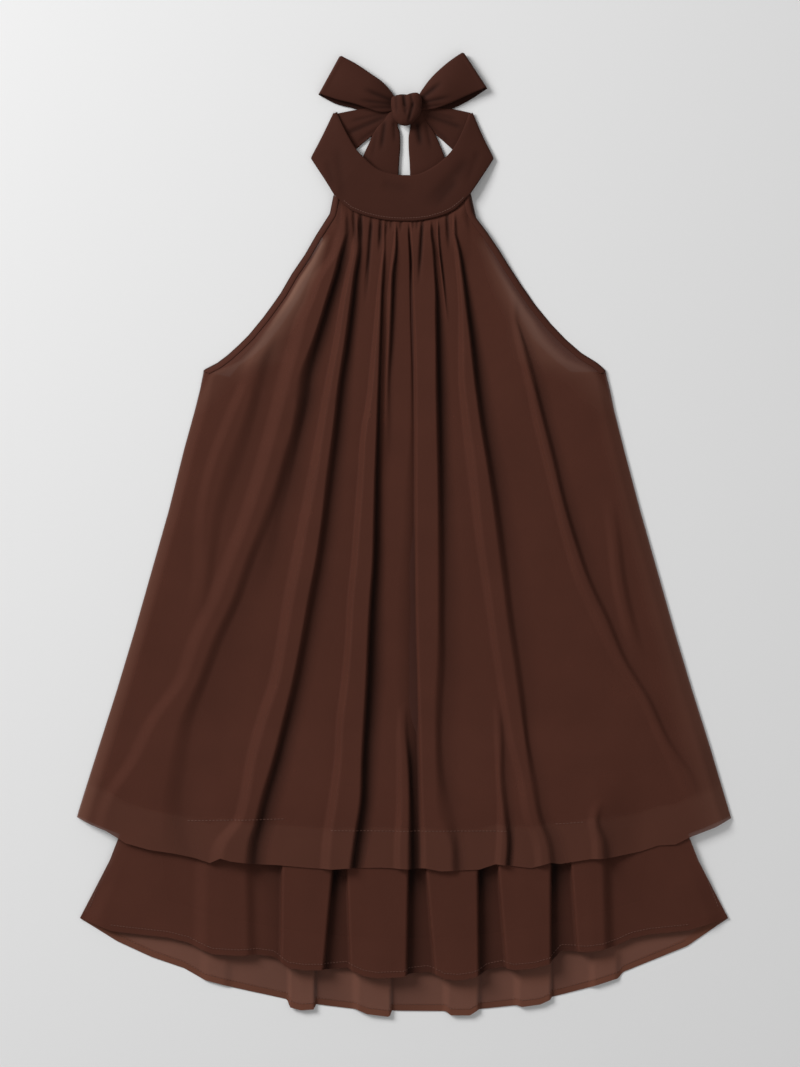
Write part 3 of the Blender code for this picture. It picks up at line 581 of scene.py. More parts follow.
# the valley that runs in under the centre pleat: deeper and with more painted shade from start to line,
# gone at stop
pleatValley = (
    # y, start, line, stop, depth, shade
    (300, 3.4, 5.2, 7, 2.0, 0.65),
    (277, 4.6, 6.8, 9, 3.0, 0.95),
    (253, 5, 7.2, 8.8, 3.0, 0.75),
    (215, 5.5, 8, 9.6, 2.5, 0.5),
    (175, 6.2, 9, 10.6, 2.0, 0.45),
    (135, 6, 9.6, 11, 1.5, 0.3),
    (95, 5, 10, 11.5, 1.5, 0.25),
    (55, 1, 10, 11.7, 1.5, 0.28),
    (15, -1, 10, 12, 1.5, 0.32),
    (-25, -4, 10, 12.3, 2.0, 0.36),
    (-65, -7, 10.4, 12.6, 2.0, 0.4),
    (-105, -8, 11, 13.4, 2.5, 0.45),
    (-145, -8, 12, 14.5, 2.5, 0.48),
    (-175, -6, 12, 15.3, 3.0, 0.45),
    (-205, -2, 13, 16, 3.0, 0.45),
    (-335, 4, 14, 18.5, 3.0, 0.35),
)
gathers = (
    # x at the seam, x at the end, y at the end, depth, shade
    (-64.0, -66.5, 296.0, 1.0, 0.25),
    (-50.5, -48.0, 282.0, 1.4, 0.5),
    (-43.0, -42.0, 282.0, 1.8, 0.8),
    (-32.0, -39.0, 226.0, 2.0, 0.75),
    (-23.0, -24.5, 279.0, 1.8, 0.7),
    (-17.0, -17.0, 297.0, 1.2, 0.35),
    (-13.0, -13.0, 303.0, 1.2, 0.35),
    (-3.0, -3.0, 303.0, 1.2, 0.35),
    (9.0, 9.5, 303.0, 1.2, 0.35),
    (13.0, 13.0, 303.0, 1.2, 0.35),
    (18.6, 14.6, 246.0, 2.0, 0.85),
    (43.0, 45.0, 280.0, 1.6, 0.65),
    (62.0, 66.0, 294.0, 1.0, 0.25),
)
# painted light from the pale ground where one layer lies beside the armholes and along the sides, inwards
# from the edge
groundLightLeft = (
    # y, start, peak, end, strength
    (300, 4, 6, 10, 0.0),
    (290, 5.5, 7.5, 12, 0.5),
    (261, 6, 8.5, 20, 0.6),
    (237, 6, 9, 24, 0.6),
    (215, 7, 10, 28, 0.4),
    (195, 8, 13, 32, 0.3),
    (175, 10, 15, 46, 0.2),
    (158, 4, 8, 40, 0.08),
    (120, -8, -1, 10, 0.08),
    (-100, -8, -1, 12, 0.18),
    (-285, -8, -1, 16, 0.18),
)
groundLightRight = (
    (300, 4, 6, 10, 0.0),
    (288, 5.5, 8, 14, 0.1),
    (265, 6, 9, 20, 0.16),
    (237, 6, 10, 26, 0.24),
    (215, 7, 12, 30, 0.24),
    (195, 9, 17, 42, 0.22),
    (175, 10, 18, 54, 0.18),
    (158, 4, 10, 50, 0.1),
    (120, -8, -1, 20, 0.08),
    (-100, -8, -1, 24, 0.14),
    (-285, -8, -1, 40, 0.12),
)
neckSeam = (
    (-70, 341), (-60, 329), (-50, 323.5), (-38, 319), (-25, 316), (-11, 314), (8, 314), (20, 315),
    (33, 317.5), (45, 322), (56, 328), (62, 334), (67, 341),
)


def foldField(x, y):
    # height and painted shade that the long folds give the cloth
    height = np.zeros_like(x)
    dark = np.zeros_like(x)
    for rows in longFolds.values():
        table = np.array(rows, float)
        levels = table[:, 0]
        foot, crest, brow, line, end, rise, shade = (bend(levels, table[:, k], y) for k in range(1, 8))
        outside = (y > levels[0] + 60.0) | (y < levels[-1] - 30.0)
        rise = np.where(outside, 0.0, np.maximum(rise, 0.0))
        shade = np.where(outside, 0.0, np.clip(shade, 0.0, 1.0))
        brow = np.minimum(brow, line - 1.2)
        up = smooth(foot, crest, x)
        down = 1.0 - smooth(brow, line + 0.3 * (line - brow), x)
        height += rise * up * down
        tail = (1.0 - np.clip((x - line) / np.maximum(end - line, 1.5), 0.0, 1.0)) ** 1.3
        dark = 1.0 - (1.0 - dark) * (1.0 - shade * smooth(brow, line, x) * tail)
    table = np.array(pleatValley, float)
    start, line, stop, depth, shade = (bend(table[:, 0], table[:, k], y) for k in range(1, 6))
    inside = np.clip((x - start) / (line - start), 0.0, 1.0) ** 1.7 * (1.0 - smooth(line, stop, x))
    height -= depth * inside
    dark = 1.0 - (1.0 - dark) * (1.0 - shade * inside)
    return height, dark


def gatherField(x, y):
    dip = np.zeros_like(x)
    dark = np.zeros_like(x)
    for seamX, endX, endY, deep, shade in gathers:
        seamY = float(straight(neckSeam, seamX))
        share = np.clip((seamY - y) / (seamY - endY), 0.0, 1.0)
        strength = smooth(-0.05, 0.12, share) * (1.0 - smooth(0.45, 1.0, share))
        away = (x - seamX - (endX - seamX) * share) / 1.7
        bell = np.exp(-(away**2)) * strength
        dip += deep * bell
        dark = np.maximum(dark, shade * bell)
    return dip, dark


def groundLightField(inward, y, table):
    # painted light where one layer lies over the pale ground: from start in to end, brightest at peak
    table = np.array(table, float)
    start, peak, end, strength = (np.interp(y, table[::-1, 0], table[::-1, k]) for k in range(1, 5))
    tail = (1.0 - np.clip((inward - peak) / (end - peak), 0.0, 1.0)) ** 1.5
    return strength * smooth(start, peak, inward) * tail


def outerFrontGrid():
    look = outerFront
    share = np.linspace(-1.0, 1.0, look["columns"] + 1)[None, :]
    edgeY = np.linspace(look["topY"], look["bottomY"], look["rows"] + 1)[:, None]
    half = np.where(share < 0, -straight(leftEdge, edgeY), straight(rightEdge, edgeY))
    table = np.array(sections)
    sag, square, edgeZ, spread = (bend(table[:, 0], table[:, k], edgeY) for k in range(1, 5))
    inner = half - look["edgeRamp"]
    inside = np.abs(share) * inner * (1.0 + spread * (1.0 - np.abs(share)))
    # the last columns on each side close up towards the edge
    rim = np.clip((np.abs(share) - 0.965) / 0.035, 0.0, 1.0)
    x = np.sign(share) * (inside + (half - inner) * rim)
    across = np.abs(x) / half
    y = edgeY - sag * (1.0 - across**square)
    hemNow = look["bottomY"] - sections[-1][1] * (1.0 - np.abs(x / 327.0).clip(0, 1) ** sections[-1][2])
    hemPull = smooth(-170.0, look["bottomY"], edgeY)
    y = y + hemPull * (straight(outerHem, x) - hemNow)
    below = straight(neckSeam, x) - y
    edgeDistance = half - np.abs(x)
    folds, dark = foldField(x, y)
    guard = smooth(4.0, 24.0, edgeDistance)
    folds = folds * guard * smooth(0.0, 14.0, below)
    dark = dark * guard * smooth(2.0, 16.0, below)
    dip, gatherDark = gatherField(x, y)
    swell = 3.0 * smooth(-4.0, 8.0, below) * (1.0 - smooth(20.0, 70.0, below))
    # painted shade of the gathers below the neckline seam
    dark = 1.0 - (1.0 - dark) * (1.0 - gatherDark * smooth(-3.0, 1.0, below))
    # painted light from the pale ground through one layer, less where the folds carry painted shade; the
    # bottom 38 to 41 mm of the deep hem is made a little lighter as well
    thin = np.where(x < 0, groundLightField(edgeDistance, y, groundLightLeft), groundLightField(edgeDistance, y, groundLightRight))
    thin = thin * (1.0 - dark) + 0.04 * smooth(41.0, 38.0, y - straight(outerHem, x))
    lifted = smooth(-190.0, -220.0, y) * look["tierStep"]
    bridge = smooth(-170.0, -300.0, y) * (1.0 - smooth(185.0, 240.0, np.abs(x))) * look["bridge"]
    wander = 0.35 * np.sin(x * 0.071 + y * 0.013 + 1.0) * np.sin(y * 0.037 - x * 0.011)
    height = look["height"] + lifted + bridge + folds + np.maximum(swell - dip, -0.4) + wander * guard
    ramp = np.clip(edgeDistance / look["edgeRamp"], 0.0, 1.0)
    z = edgeZ + (height - edgeZ) * ramp
    # under the neckband the cloth is pressed flat
    z = np.where(below < 0.0, np.minimum(z, 6.6), z)
    return np.stack(np.broadcast_arrays(x, y, z), -1), dark, thin


frontPoints, frontDark, frontGroundLightAndHemTone = outerFrontGrid()
frontPiece = buildSheet("outerFront", frontPoints, cloth["chiffon"], frontDark, frontGroundLightAndHemTone)
frontSurface = surfaceOf(frontPoints)
deepHem = (
    # the hem's blind stitches show only where the cloth lies smooth
    ((-216, -285), (-119, -283)),
    ((-73, -294), (-20, -295), (104, -295)),
    ((151, -288), (181, -286)),
)
hemStitches = attach(stitchRows("outerHemStitches", deepHem, frontSurface, 2.6, 1.0))
attach(frontPiece, ["outer_front"])

# strips folded over the armhole edges: the panel's own edge, doubled
armhole = {
    "topY": 338.5,
    "bottomY": 163.0,
    "rows": 120,
    # steps in from the edge: pressed thin there, then a rounded strip with a sharp inner side
    "steps": np.array([-0.2, 0.3, 1.4, 2.9, 4.4, 5.5, 6.0, 6.2]),
    "lifts": np.array([-0.3, 0.5, 1.0, 1.2, 1.1, 0.9, 0.6, 0.1]),
    # painted shade along the strip's edges, most at its outer edge
    "dark": np.array([0.7, 0.4, 0.05, 0.0, 0.0, 0.05, 0.2, 0.3]),
}
for name, node, edgeTable, side in (
    ("armholeBindingLeft", "armhole_binding_left", leftEdge, -1.0),
    ("armholeBindingRight", "armhole_binding_right", rightEdge, 1.0),
):
    levels = np.linspace(armhole["topY"], armhole["bottomY"], armhole["rows"])
    edgeX = straight(edgeTable, levels)
    steps = armhole["steps"]
    normalX = np.gradient(levels)
    normalY = -np.gradient(edgeX)
    size = np.hypot(normalX, normalY)
    inwardX = side * normalX / size
    inwardY = side * normalY / size
    strip = np.zeros((len(levels), len(steps), 3))
    for row in range(len(levels)):
        for column, step in enumerate(steps):
            px = edgeX[row] + inwardX[row] * step
            py = levels[row] + inwardY[row] * step
            hit = frontSurface.ray_cast((px, py, 60.0), (0.0, 0.0, -1.0))[0]
            strip[row, column] = (px, py, np.nan if hit is None else hit[2])
    for column in range(strip.shape[1]):
        heights = strip[:, column, 2]
        known = ~np.isnan(heights)
        if known.sum() < 2:
            heights[:] = strip[:, column + 1, 2] if column == 0 else heights
        else:
            heights[:] = np.interp(np.arange(len(heights)), np.flatnonzero(known), heights[known])
    strip[:, 0, 2] = strip[:, 1, 2]
    strip[:, :, 2] += armhole["lifts"]
    binding = buildSheet(name, strip, cloth["chiffonFolded"], armhole["dark"][None, :])
    attach(binding, [node])
print("outer front made")

# outer back and slip, both cut further in at the armholes

leftInner = (
    (-174, 158), (-165, 169), (-151, 179), (-137, 191), (-125, 206), (-114, 222), (-106, 235),
    (-98, 249), (-91, 265), (-85, 279), (-81, 295),
)
rightInner = (
    (166, 163), (147, 177.5), (127, 197), (113.6, 219), (103, 238), (89, 267), (80, 291),
)
backSides = (
    (-204, 145), (-209, 125), (-220, 85), (-235, 25), (-252, -35), (-269, -95), (-287, -155), (-306, -215),
)


def hemArc(half, cornerY, sag, square):
    share = np.linspace(1.0, -1.0, 41)
    return [(half * s, cornerY - sag * (1.0 - abs(s) ** square)) for s in share]


rightSide = [(-x - 0.4, y) for x, y in backSides]
leftSide = [(x + 0.4, y) for x, y in backSides]
backOutline = (
    [(67.0, 341.0), (72.2, 317.0), (78.0, 303.0)]
    + list(reversed(rightInner))
    + [(199.6, 163.0)]
    + rightSide
    + hemArc(326.0, -281.0, 44.0, 3.8)
    + list(reversed(leftSide))
    + [(-199.6, 163.0)]
    + list(leftInner)
    + [(-83.0, 301.0), (-71.0, 321.0), (-66.0, 341.0)]
)
backPiece = flatLayer("outerBack", backOutline, 0.6, cloth["chiffon"])
attach(backPiece, ["outer_back"])

slipSides = ((-190, 145), (-206, 85), (-221, 25), (-238, -35), (-255, -95), (-268, -150), (-256, -225))
slipEdges = {"slipFront": ("slip_front", 4.4, 0.0), "slipBack": ("slip_back", 3.1, 2.0)}
for name, (node, z, shorter) in slipEdges.items():
    outline = (
        [(56.0, 341.0), (74.0, 303.0)]
        + list(reversed(rightInner))
        + [(-x, y) for x, y in slipSides]
        + hemArc(236.0, -365.0, 38.0 - shorter, 2.0)
        + list(reversed(slipSides))
        + list(leftInner)
        + [(-74.0, 303.0), (-56.0, 341.0)]
    )
    attach(flatLayer(name, outline, z, cloth["lining"]), [node])
print("back and slip made")

# lower tier

tier = {
    "seamY": -230.0,
    "seamSag": 22.0,
    "seamHalf": 257.0,
    "cornerHalf": 324.0,
    "upperHalf": 294.0,
    "outerHemY": -325.0,
    "columnStep": 2.0,
    "hemBand": 7.0,
}
frontHem = (
    (-324, -383), (-293, -395.5), (-273, -398), (-255, -400), (-236, -402), (-216, -407), (-204, -413),
    (-191, -418.5), (-165, -420), (-147, -419), (-131, -421), (-122, -427), (-115, -432), (-99, -434),
    (-82, -434), (-58, -432), (-51, -435), (-40, -440), (-27, -442), (-1, -441), (5.5, -438),
    (23, -436), (33, -439), (40, -443), (54, -444), (68, -442), (76, -439), (83, -434), (98, -431),
    (110, -434), (130, -432), (145, -428), (157, -415), (182, -416), (198, -414), (213, -409.5),
    (227, -403), (245, -399), (264, -397), (284, -395), (324, -383),
)
backHem = (
    (-324, -383), (-287, -406), (-252, -422), (-220, -433), (-199, -445), (-176, -451), (-149, -457),
    (-117, -464), (-114, -472), (-103, -475), (-90, -474), (-88, -469), (-48, -474), (-36, -479),
    (-14.5, -481.5), (-12, -475.5), (42, -476), (47, -480), (66, -480), (75, -474), (113, -470),
    (118, -471.6), (136.5, -469), (146, -464.5), (147, -462), (188, -451.5), (214, -443), (219, -437),
    (283, -411), (324, -383),
)
frontBoxes = (
    # upper left, upper right, lower left, lower right, left side, right side, rise
    (-202.0, -154.0, -204.0, -152.0, 16.0, 12.0, 4.0),
    (-122.0, -70.0, -123.0, -80.0, 2.5, 2.5, 8.0),
    (-57.5, 5.0, -53.5, 3.0, 2.5, 2.5, 8.0),
    (21.0, 74.0, 31.0, 75.0, 2.5, 2.5, 8.0),
    (93.0, 147.0, 102.0, 147.0, 2.5, 2.5, 8.0),
    (166.0, 202.0, 173.0, 204.5, 2.5, 12.0, 6.5),
)
backBoxes = (
    (-200.0, -172.0, -200.0, -176.0, 12.0, 10.0, 2.0),
    (-115.0, -89.0, -115.0, -89.0, 3.0, 2.5, 3.6),
    (-48.0, -13.0, -48.0, -13.0, 8.0, 2.0, 3.6),
    (42.0, 75.0, 42.0, 75.0, 6.0, 4.0, 3.6),
    (113.0, 147.0, 113.0, 147.0, 7.0, 2.0, 3.6),
    (188.0, 214.0, 188.0, 214.0, 7.0, 7.0, 2.6),
)


def tierColumns(boxes):
    # places at the outer hem and at the tier's hem, height, and painted shade of every column
    half, corner = tier["upperHalf"], tier["cornerHalf"]
    marks = [(-half, -corner, 0.0, 0.0), (-half + 40.0, -corner + 40.0, 0.0, 0.0)]
    for ul, ur, ll, lr, left, right, rise in boxes:
        sharp = right < 5.0
        marks += [
            (ul - left / 2, ll - left / 2, 0.0, 0.25 if left < 5.0 else 0.0),
            (ul + left / 2, ll + left / 2, rise, 0.0),
            ((ul + ur) / 2, (ll + lr) / 2, rise * 1.06, 0.0),
            (ur - right / 2, lr - right / 2, rise, 0.0),
            (ur + right / 2, lr + right / 2, 0.0, 0.75 if sharp else 0.15),
            (ur + right / 2 + 6.0, lr + right / 2 + 6.0, 0.0, 0.5 if sharp else 0.1),
        ]
    marks += [(half - 40.0, corner - 40.0, 0.0, 0.0), (half, corner, 0.0, 0.0)]
    columns = [marks[0]]
    for a, b in zip(marks[:-1], marks[1:]):
        parts = max(1, math.ceil((b[1] - a[1]) / tier["columnStep"]))
        for part in range(1, parts + 1):
            t = part / parts
            rise = a[2] + (b[2] - a[2]) * float(smooth(0.0, 1.0, t))
            upper, lower, dark = (a[k] + (b[k] - a[k]) * t for k in (0, 1, 3))
            columns.append((upper, lower, rise, dark))
    return np.array(columns)


def tierGrid(boxes, hem, rows, base, foldFrom, foldFull):
    columns = tierColumns(boxes)
    upper, lower, rise, dark = (columns[:, k][None, :] for k in range(4))
    hemY = straight(hem, lower)
    across = lower / tier["cornerHalf"]
    seamY = tier["seamY"] - tier["seamSag"] * (1.0 - across**2)
    seamX = lower * tier["seamHalf"] / tier["cornerHalf"]
    drop = np.linspace(0.0, 1.0, rows)[:, None]
    # the last rows lie closer together, so that the hem can be a band of its own
    bandTop = hemY + tier["hemBand"]
    lastRows = hemY + tier["hemBand"] * np.array([[0.5], [0.0]])
    y = np.concatenate([seamY + (bandTop - seamY) * drop, lastRows])
    above = (y - tier["outerHemY"]) / (seamY - tier["outerHemY"])
    under = (y - tier["outerHemY"]) / (hemY - tier["outerHemY"])
    x = np.where(above > 0, upper + (seamX - upper) * above, upper + (lower - upper) * under)
    open = smooth(foldFrom, foldFull, y)
    z = base(x, y, drop) + rise * open
    # painted shade in the valleys, strongest where they run in under the outer hem
    return np.stack(np.broadcast_arrays(x, y, z), -1), dark * open * (1.0 + 0.7 * smooth(-375.0, -328.0, y))


def frontBase(x, y, drop):
    # past the slip the side seam comes down on the back tier
    side = np.abs(x) / (257.0 + (324.0 - 257.0) * np.clip((-230.0 - y) / 153.0, 0.0, 1.0))
    low = 1.9 + 3.8 * (1.0 - smooth(-300.0, -383.0, y))
    return 5.7 + (low - 5.7) * smooth(0.93, 1.0, side) + 0.3 * np.sin(x * 0.09) * np.sin(y * 0.05)


def backBase(x, y, drop):
    return 1.8 - 1.2 * smooth(-375.0, -395.0, y) + 0.15 * np.sin(x * 0.07 + 1.0)


tierFrontPoints, tierFrontDark = tierGrid(frontBoxes, frontHem, 60, frontBase, -262.0, -322.0)
tierBackPoints, tierBackDark = tierGrid(backBoxes, backHem, 60, backBase, -400.0, -430.0)
tierPanels = (
    ("tierFront", "tier_front", tierFrontPoints, tierFrontDark, -0.35, (0.70, 0.22), 0.13),
    ("tierBack", "tier_back", tierBackPoints, 0.6 * tierBackDark, -0.25, (0.68, 0.26), 0.14),
)
tierStitches = {
    "tierFront": (
        [(x, y + 6.0) for x, y in frontHem[1:-1]],
        [(-287, -303), (-315, -374)],
        [(287, -303), (315, -374)],
    ),
    "tierBack": ([(x, y + 6.5) for x, y in backHem[1:-1]],),
}
for name, node, points, dark, hemLift, flat, area in tierPanels:
    # the hem is turned up inside: a second layer just under the panel's last rows
    turned = points[-3:].copy()
    turned[:, :, 2] += hemLift
    hem = attach(buildSheet(name + "Hem", turned, cloth["chiffonFolded"]))
    # the back tier, one layer alone, takes the lighter copy with painted light
    panel = buildSheet(name, points, cloth["chiffon" if name == "tierFront" else "chiffonSinglePaintedLight"], dark)
    stitches = stitchRows(name + "Stitches", tierStitches[name], surfaceOf(points), 2.2, 0.9)
    attach(stitches)
    attach(panel, [node])
print("tier made")

# neckband

bandInner = (
    (-68, 422.3), (-62.5, 411), (-56, 398.5), (-48.5, 386), (-40.5, 377), (-27, 365.5), (-12, 360.3),
    (1, 359), (14, 360), (28, 366.5), (40, 375.5), (48, 384), (54.5, 395), (60.5, 408), (66, 421),
)
bandOuter = (
    # x, y, inner z, outer z
    (-69.5, 421, 2.3, 2.3),
    (-81, 398, 5.0, 2.8),
    (-92.7, 376.3, 6.6, 3.0),
    (-80.5, 357.5, 7.4, 6.0),
    (-70, 340.5, 8.0, 7.9),
    (-52, 324.3, 8.2, 8.0),
    (-25, 315.8, 8.3, 8.0),
    (-1, 313.6, 8.3, 8.0),
    (22, 315.2, 8.3, 8.0),
    (48, 323.6, 8.2, 8.0),
    (66, 340.5, 8.0, 7.9),
    (78, 358.5, 7.4, 6.0),
    (89.3, 376, 6.6, 3.0),
    (78, 398, 5.0, 2.8),
    (67.5, 421.5, 2.3, 2.3),
)
bandCreases = (
    # x1, y1, x2, y2, width, depth, painted shade
    (-66, 382, -60, 330, 5.0, 0.5, 0.15),
    (62, 372, 22, 328, 6.0, 0.9, 0.3),
    (52, 352, 30, 326, 4.0, 0.6, 0.25),
    (-20, 350, 10, 344, 6.0, 0.5, 0.15),
    (-76, 372, -70, 345, 4.0, 0.5, 0.15),
    (74, 382, 62, 350, 4.0, 0.5, 0.15),
)
bandShare = np.linspace(0.0, 1.0, 181)
innerEdge = alongStations(bandInner, bandShare)
outerEdge = alongStations(bandOuter, bandShare, (2, 4, 10, 12))
acrossBand = np.linspace(0.0, 1.0, 33)[None, :, None]
bandXY = innerEdge[:, None, :] + (outerEdge[:, None, :2] - innerEdge[:, None, :]) * acrossBand
acrossBand = acrossBand[:, :, 0]
bandZ = outerEdge[:, 2:3] + (outerEdge[:, 3:4] - outerEdge[:, 2:3]) * acrossBand
rounded = 1.0 - np.abs(2.0 * acrossBand - 1.0) ** 5
bandDip, bandDark = creaseLines(bandXY[:, :, 0], bandXY[:, :, 1], bandCreases)
bandZ = bandZ + 0.9 * rounded - bandDip - 0.8
bandPoints = np.concatenate([bandXY, bandZ[:, :, None]], -1)
bandWall = 1.4
bandPiece = buildSheet("neckbandFront", bandPoints, cloth["bandCloth"], bandDark, wall=bandWall)
bandSeam = (
    (-60, 333.8), (-52, 327.2), (-38, 321.6), (-25, 318.4), (-12, 316.7), (0, 316.2), (12, 316.7),
    (24, 318.2), (38, 322.2), (48, 327), (56, 333.4), (61, 338.6),
)
bandStitches = stitchRows("neckbandStitches", [bandSeam], surfaceOf(bandPoints, bandWall), 2.0, 0.7)
attach(bandStitches)
attach(
    bandPiece, ["neckband_front"]
)


def stripGrid(stations, columns, rows):
    edges = alongStations(stations, np.linspace(0.0, 1.0, columns + 1))
    share = np.linspace(0.0, 1.0, rows + 1)[None, :]
    x = edges[:, 0:1] + (edges[:, 2:3] - edges[:, 0:1]) * share
    y = edges[:, 1:2] + (edges[:, 3:4] - edges[:, 1:2]) * share
    along = np.linspace(0.0, 1.0, columns + 1)[:, None] + 0 * share
    return x, y, along, share + 0 * along


backBands = {
    "neckbandBackLeft": {
        "node": "neckband_back_left",
        "stations": (
            (-68, 421, -51, 383), (-52, 424.2, -38, 394), (-36, 427, -26, 404), (-19, 430, -15, 414),
            (-4, 431, -4, 418),
        ),
        "creases": (
            (-56, 402, -12, 421, 2.6, 1.0, 0.55), (-50, 414, -10, 424, 2.2, 0.6, 0.3),
            (-44, 394, -12, 416, 2.0, 0.5, 0.3),
        ),
    },
    "neckbandBackRight": {
        "node": "neckband_back_right",
        "stations": (
            (66.5, 422, 51, 383), (50, 425.5, 39, 394), (36, 427, 27.5, 404), (21, 430, 19, 414),
            (8, 431, 8, 418),
        ),
        "creases": (
            (56, 408, 16, 422, 2.6, 0.9, 0.5), (50, 416, 16, 426, 2.2, 0.6, 0.3),
            (44, 394, 18, 416, 2.0, 0.5, 0.3),
        ),
    },
}
for name, look in backBands.items():
    x, y, along, across = stripGrid(look["stations"], 60, 28)
    dip, dark = creaseLines(x, y, look["creases"])
    puff = 1.6 * np.sin(np.pi * across) * (0.3 + 0.7 * along)
    z = 0.9 + puff - np.minimum(dip, 0.8)
    strip = buildSheet(name, np.stack([x, y, z], -1), cloth["bandCloth"], dark, wall=0.8)
    attach(strip, [look["node"]])
print("neckband made")

# bow

loops = {
    "bowLoopLeft": {
        "node": "bow_loop_left",
        "stations": (
            (-9.5, 438, -9.5, 424), (-20.5, 451, -26, 420), (-33, 460, -48.5, 426), (-48, 470.2, -68, 431),
            (-62, 478, -83.5, 439),
        ),
        "creases": (
            (-10, 433, -40, 445, 2.4, 1.2, 0.6), (-10, 430, -46, 434, 2.0, 0.9, 0.5),
            (-10, 427, -40, 427, 1.8, 0.7, 0.4),
        ),
        "showsBelow": 0.12,
    },
    "bowLoopRight": {
        "node": "bow_loop_right",
        "stations": (
            (14, 438, 14, 424.5), (25.5, 454, 33, 423), (37.5, 466, 50, 427), (48.5, 475, 66, 435),
            (57.6, 481.3, 81.4, 445),
        ),
        "creases": (
            (15, 434, 38, 452, 2.6, 1.4, 0.7), (15, 431, 48, 438, 2.2, 1.0, 0.6),
            (15, 427.5, 42, 430, 1.8, 0.8, 0.4),
        ),
        "showsBelow": 0.14,
    },
}
for name, look in loops.items():
    outSteps, turnSteps, rows = 46, 12, 30
    columns = 2 * outSteps + turnSteps
    index = np.arange(columns + 1)
    # out along the under layer, round the loop's end, and back along the top layer
    out = np.minimum(np.minimum(index, columns - index) / outSteps, 1.0)
    turn = np.clip((index - outSteps) / turnSteps, 0.0, 1.0)
    edges = alongStations(look["stations"], out)
    share = np.linspace(0.0, 1.0, rows + 1)[None, :]
    out, turn = out[:, None], turn[:, None]
    opening = np.sin(np.pi * np.minimum(out, 0.95)) ** 0.6
    below = look["showsBelow"] * opening
    across = share * (1.0 - below * turn) + below * (1.0 - turn) * (1.0 - share)
    halfGap = 0.75 + 1.9 * smooth(0.0, 0.5, out)
    x = edges[:, 0:1] + (edges[:, 2:3] - edges[:, 0:1]) * across
    y = edges[:, 1:2] + (edges[:, 3:4] - edges[:, 1:2]) * across
    outward = math.copysign(1.0, look["stations"][-1][0])
    x = x + outward * halfGap * np.sin(np.pi * turn) * 0.6
    crown = 4.0 * np.sin(np.pi * share) ** 0.8 * opening * smooth(0.6, 1.0, turn)
    dip, dark = creaseLines(x, y, look["creases"])
    top = smooth(0.6, 1.0, turn)
    z = 1.5 + halfGap * (1.0 - np.cos(np.pi * turn)) + crown - dip * top
    # painted shade along the top layer's creases and over the under layer, beneath the loop
    dark = np.clip(dark * top + 0.6 * (1.0 - smooth(0.0, 0.7, turn)), 0.0, 1.0)
    loop = buildSheet(name, np.stack([x, y, z], -1), cloth["bandCloth"], dark, wall=0.9)
    attach(loop, [look["node"]])

tails = {
    "tieTailLeft": {
        "node": "tie_tail_left",
        "stations": (
            (-14, 424, -3, 421), (-19.5, 414.5, -6.5, 409.5), (-28.5, 404.5, -4.3, 401),
            (-35, 391, -3.9, 388), (-41, 377, -4.8, 374), (-45, 356, -6, 352),
        ),
        "creases": (
            (-19, 412, -23, 384, 2.4, 1.1, 0.65), (-10, 412, -9, 392, 2.0, 0.7, 0.35),
            (-27, 402, -32, 376, 2.0, 0.4, 0.2),
        ),
    },
    "tieTailRight": {
        "node": "tie_tail_right",
        "stations": (
            (17, 423.5, 6, 421), (22, 413.5, 6.8, 409), (30, 402, 5, 398), (36, 389.5, 5, 385),
            (41, 376, 5.8, 372), (45, 356, 6.5, 352),
        ),
        "creases": ((13, 412, 17, 388, 2.8, 1.3, 0.8), (22, 410, 28, 384, 2.2, 0.6, 0.3)),
    },
}
for name, look in tails.items():
    x, y, along, across = stripGrid(look["stations"], 70, 26)
    dip, dark = creaseLines(x, y, look["creases"])
    puff = 2.2 * np.sin(np.pi * across) ** 0.7 * (1.0 - 0.5 * along)
    z = 1.5 + puff - dip
    tail = buildSheet(name, np.stack([x, y, z], -1), cloth["bandCloth"], dark, wall=0.9)
    attach(tail, [look["node"]])

knot = {
    "centre": (2.0, 426.0, 8.7),
    "rise": 7.6,
    "depth": 5.0,
    "outline": (
        (14, 441.4), (7, 440.9), (3, 439.4), (-1, 439.8), (-8, 438.6), (-12.3, 437), (-13, 431), (-12, 424),
        (-11, 417), (-7, 412), (-4, 409.4), (3, 408.4), (10, 413), (15.8, 419.4), (17.4, 428), (17.4, 437),
    ),
    "creases": (
        (-1, 443, 2.5, 418, 1.7, 1.9, 0.8),
        (9, 430, 4, 410, 1.6, 1.4, 0.7),
        (6, 443, 9.5, 426, 1.3, 1.0, 0.5),
        (-8, 440, -7, 418, 1.4, 0.6, 0.3),
    ),
}
outlineX, outlineY = (np.array([p[k] - knot["centre"][k] for p in knot["outline"]]) for k in (0, 1))
outlineAngle = np.arctan2(outlineY, outlineX)
order = np.argsort(outlineAngle)
angle = np.linspace(-np.pi, np.pi, 97)[:-1]
radius = np.interp(angle, outlineAngle[order], np.hypot(outlineX, outlineY)[order], period=2 * np.pi)
radius = (np.roll(radius, 1) + 2 * radius + np.roll(radius, -1)) / 4
ring = np.linspace(0.02, 0.98, 41)[:, None] * np.pi
reach = np.abs(np.sin(ring)) ** 0.75
knotX = knot["centre"][0] + radius * np.cos(angle) * reach
knotY = knot["centre"][1] + radius * np.sin(angle) * reach
height = np.sign(np.cos(ring)) * np.abs(np.cos(ring)) ** 0.8
knotZ = knot["centre"][2] + height * np.where(height > 0, knot["rise"], knot["depth"])
dip, dark = creaseLines(knotX, knotY, knot["creases"])
knotZ = knotZ - dip * (height > 0.15)
rings, spokes = knotX.shape
index = np.arange(rings * spokes).reshape(rings, spokes)
after = np.roll(index, -1, 1)
knotFaces = np.stack([index[:-1].ravel(), index[1:].ravel(), after[1:].ravel(), after[:-1].ravel()], 1)
knotPoints = np.stack([knotX, knotY, knotZ], -1).reshape(-1, 3)
knotMesh = bpy.data.meshes.new("bowKnot")
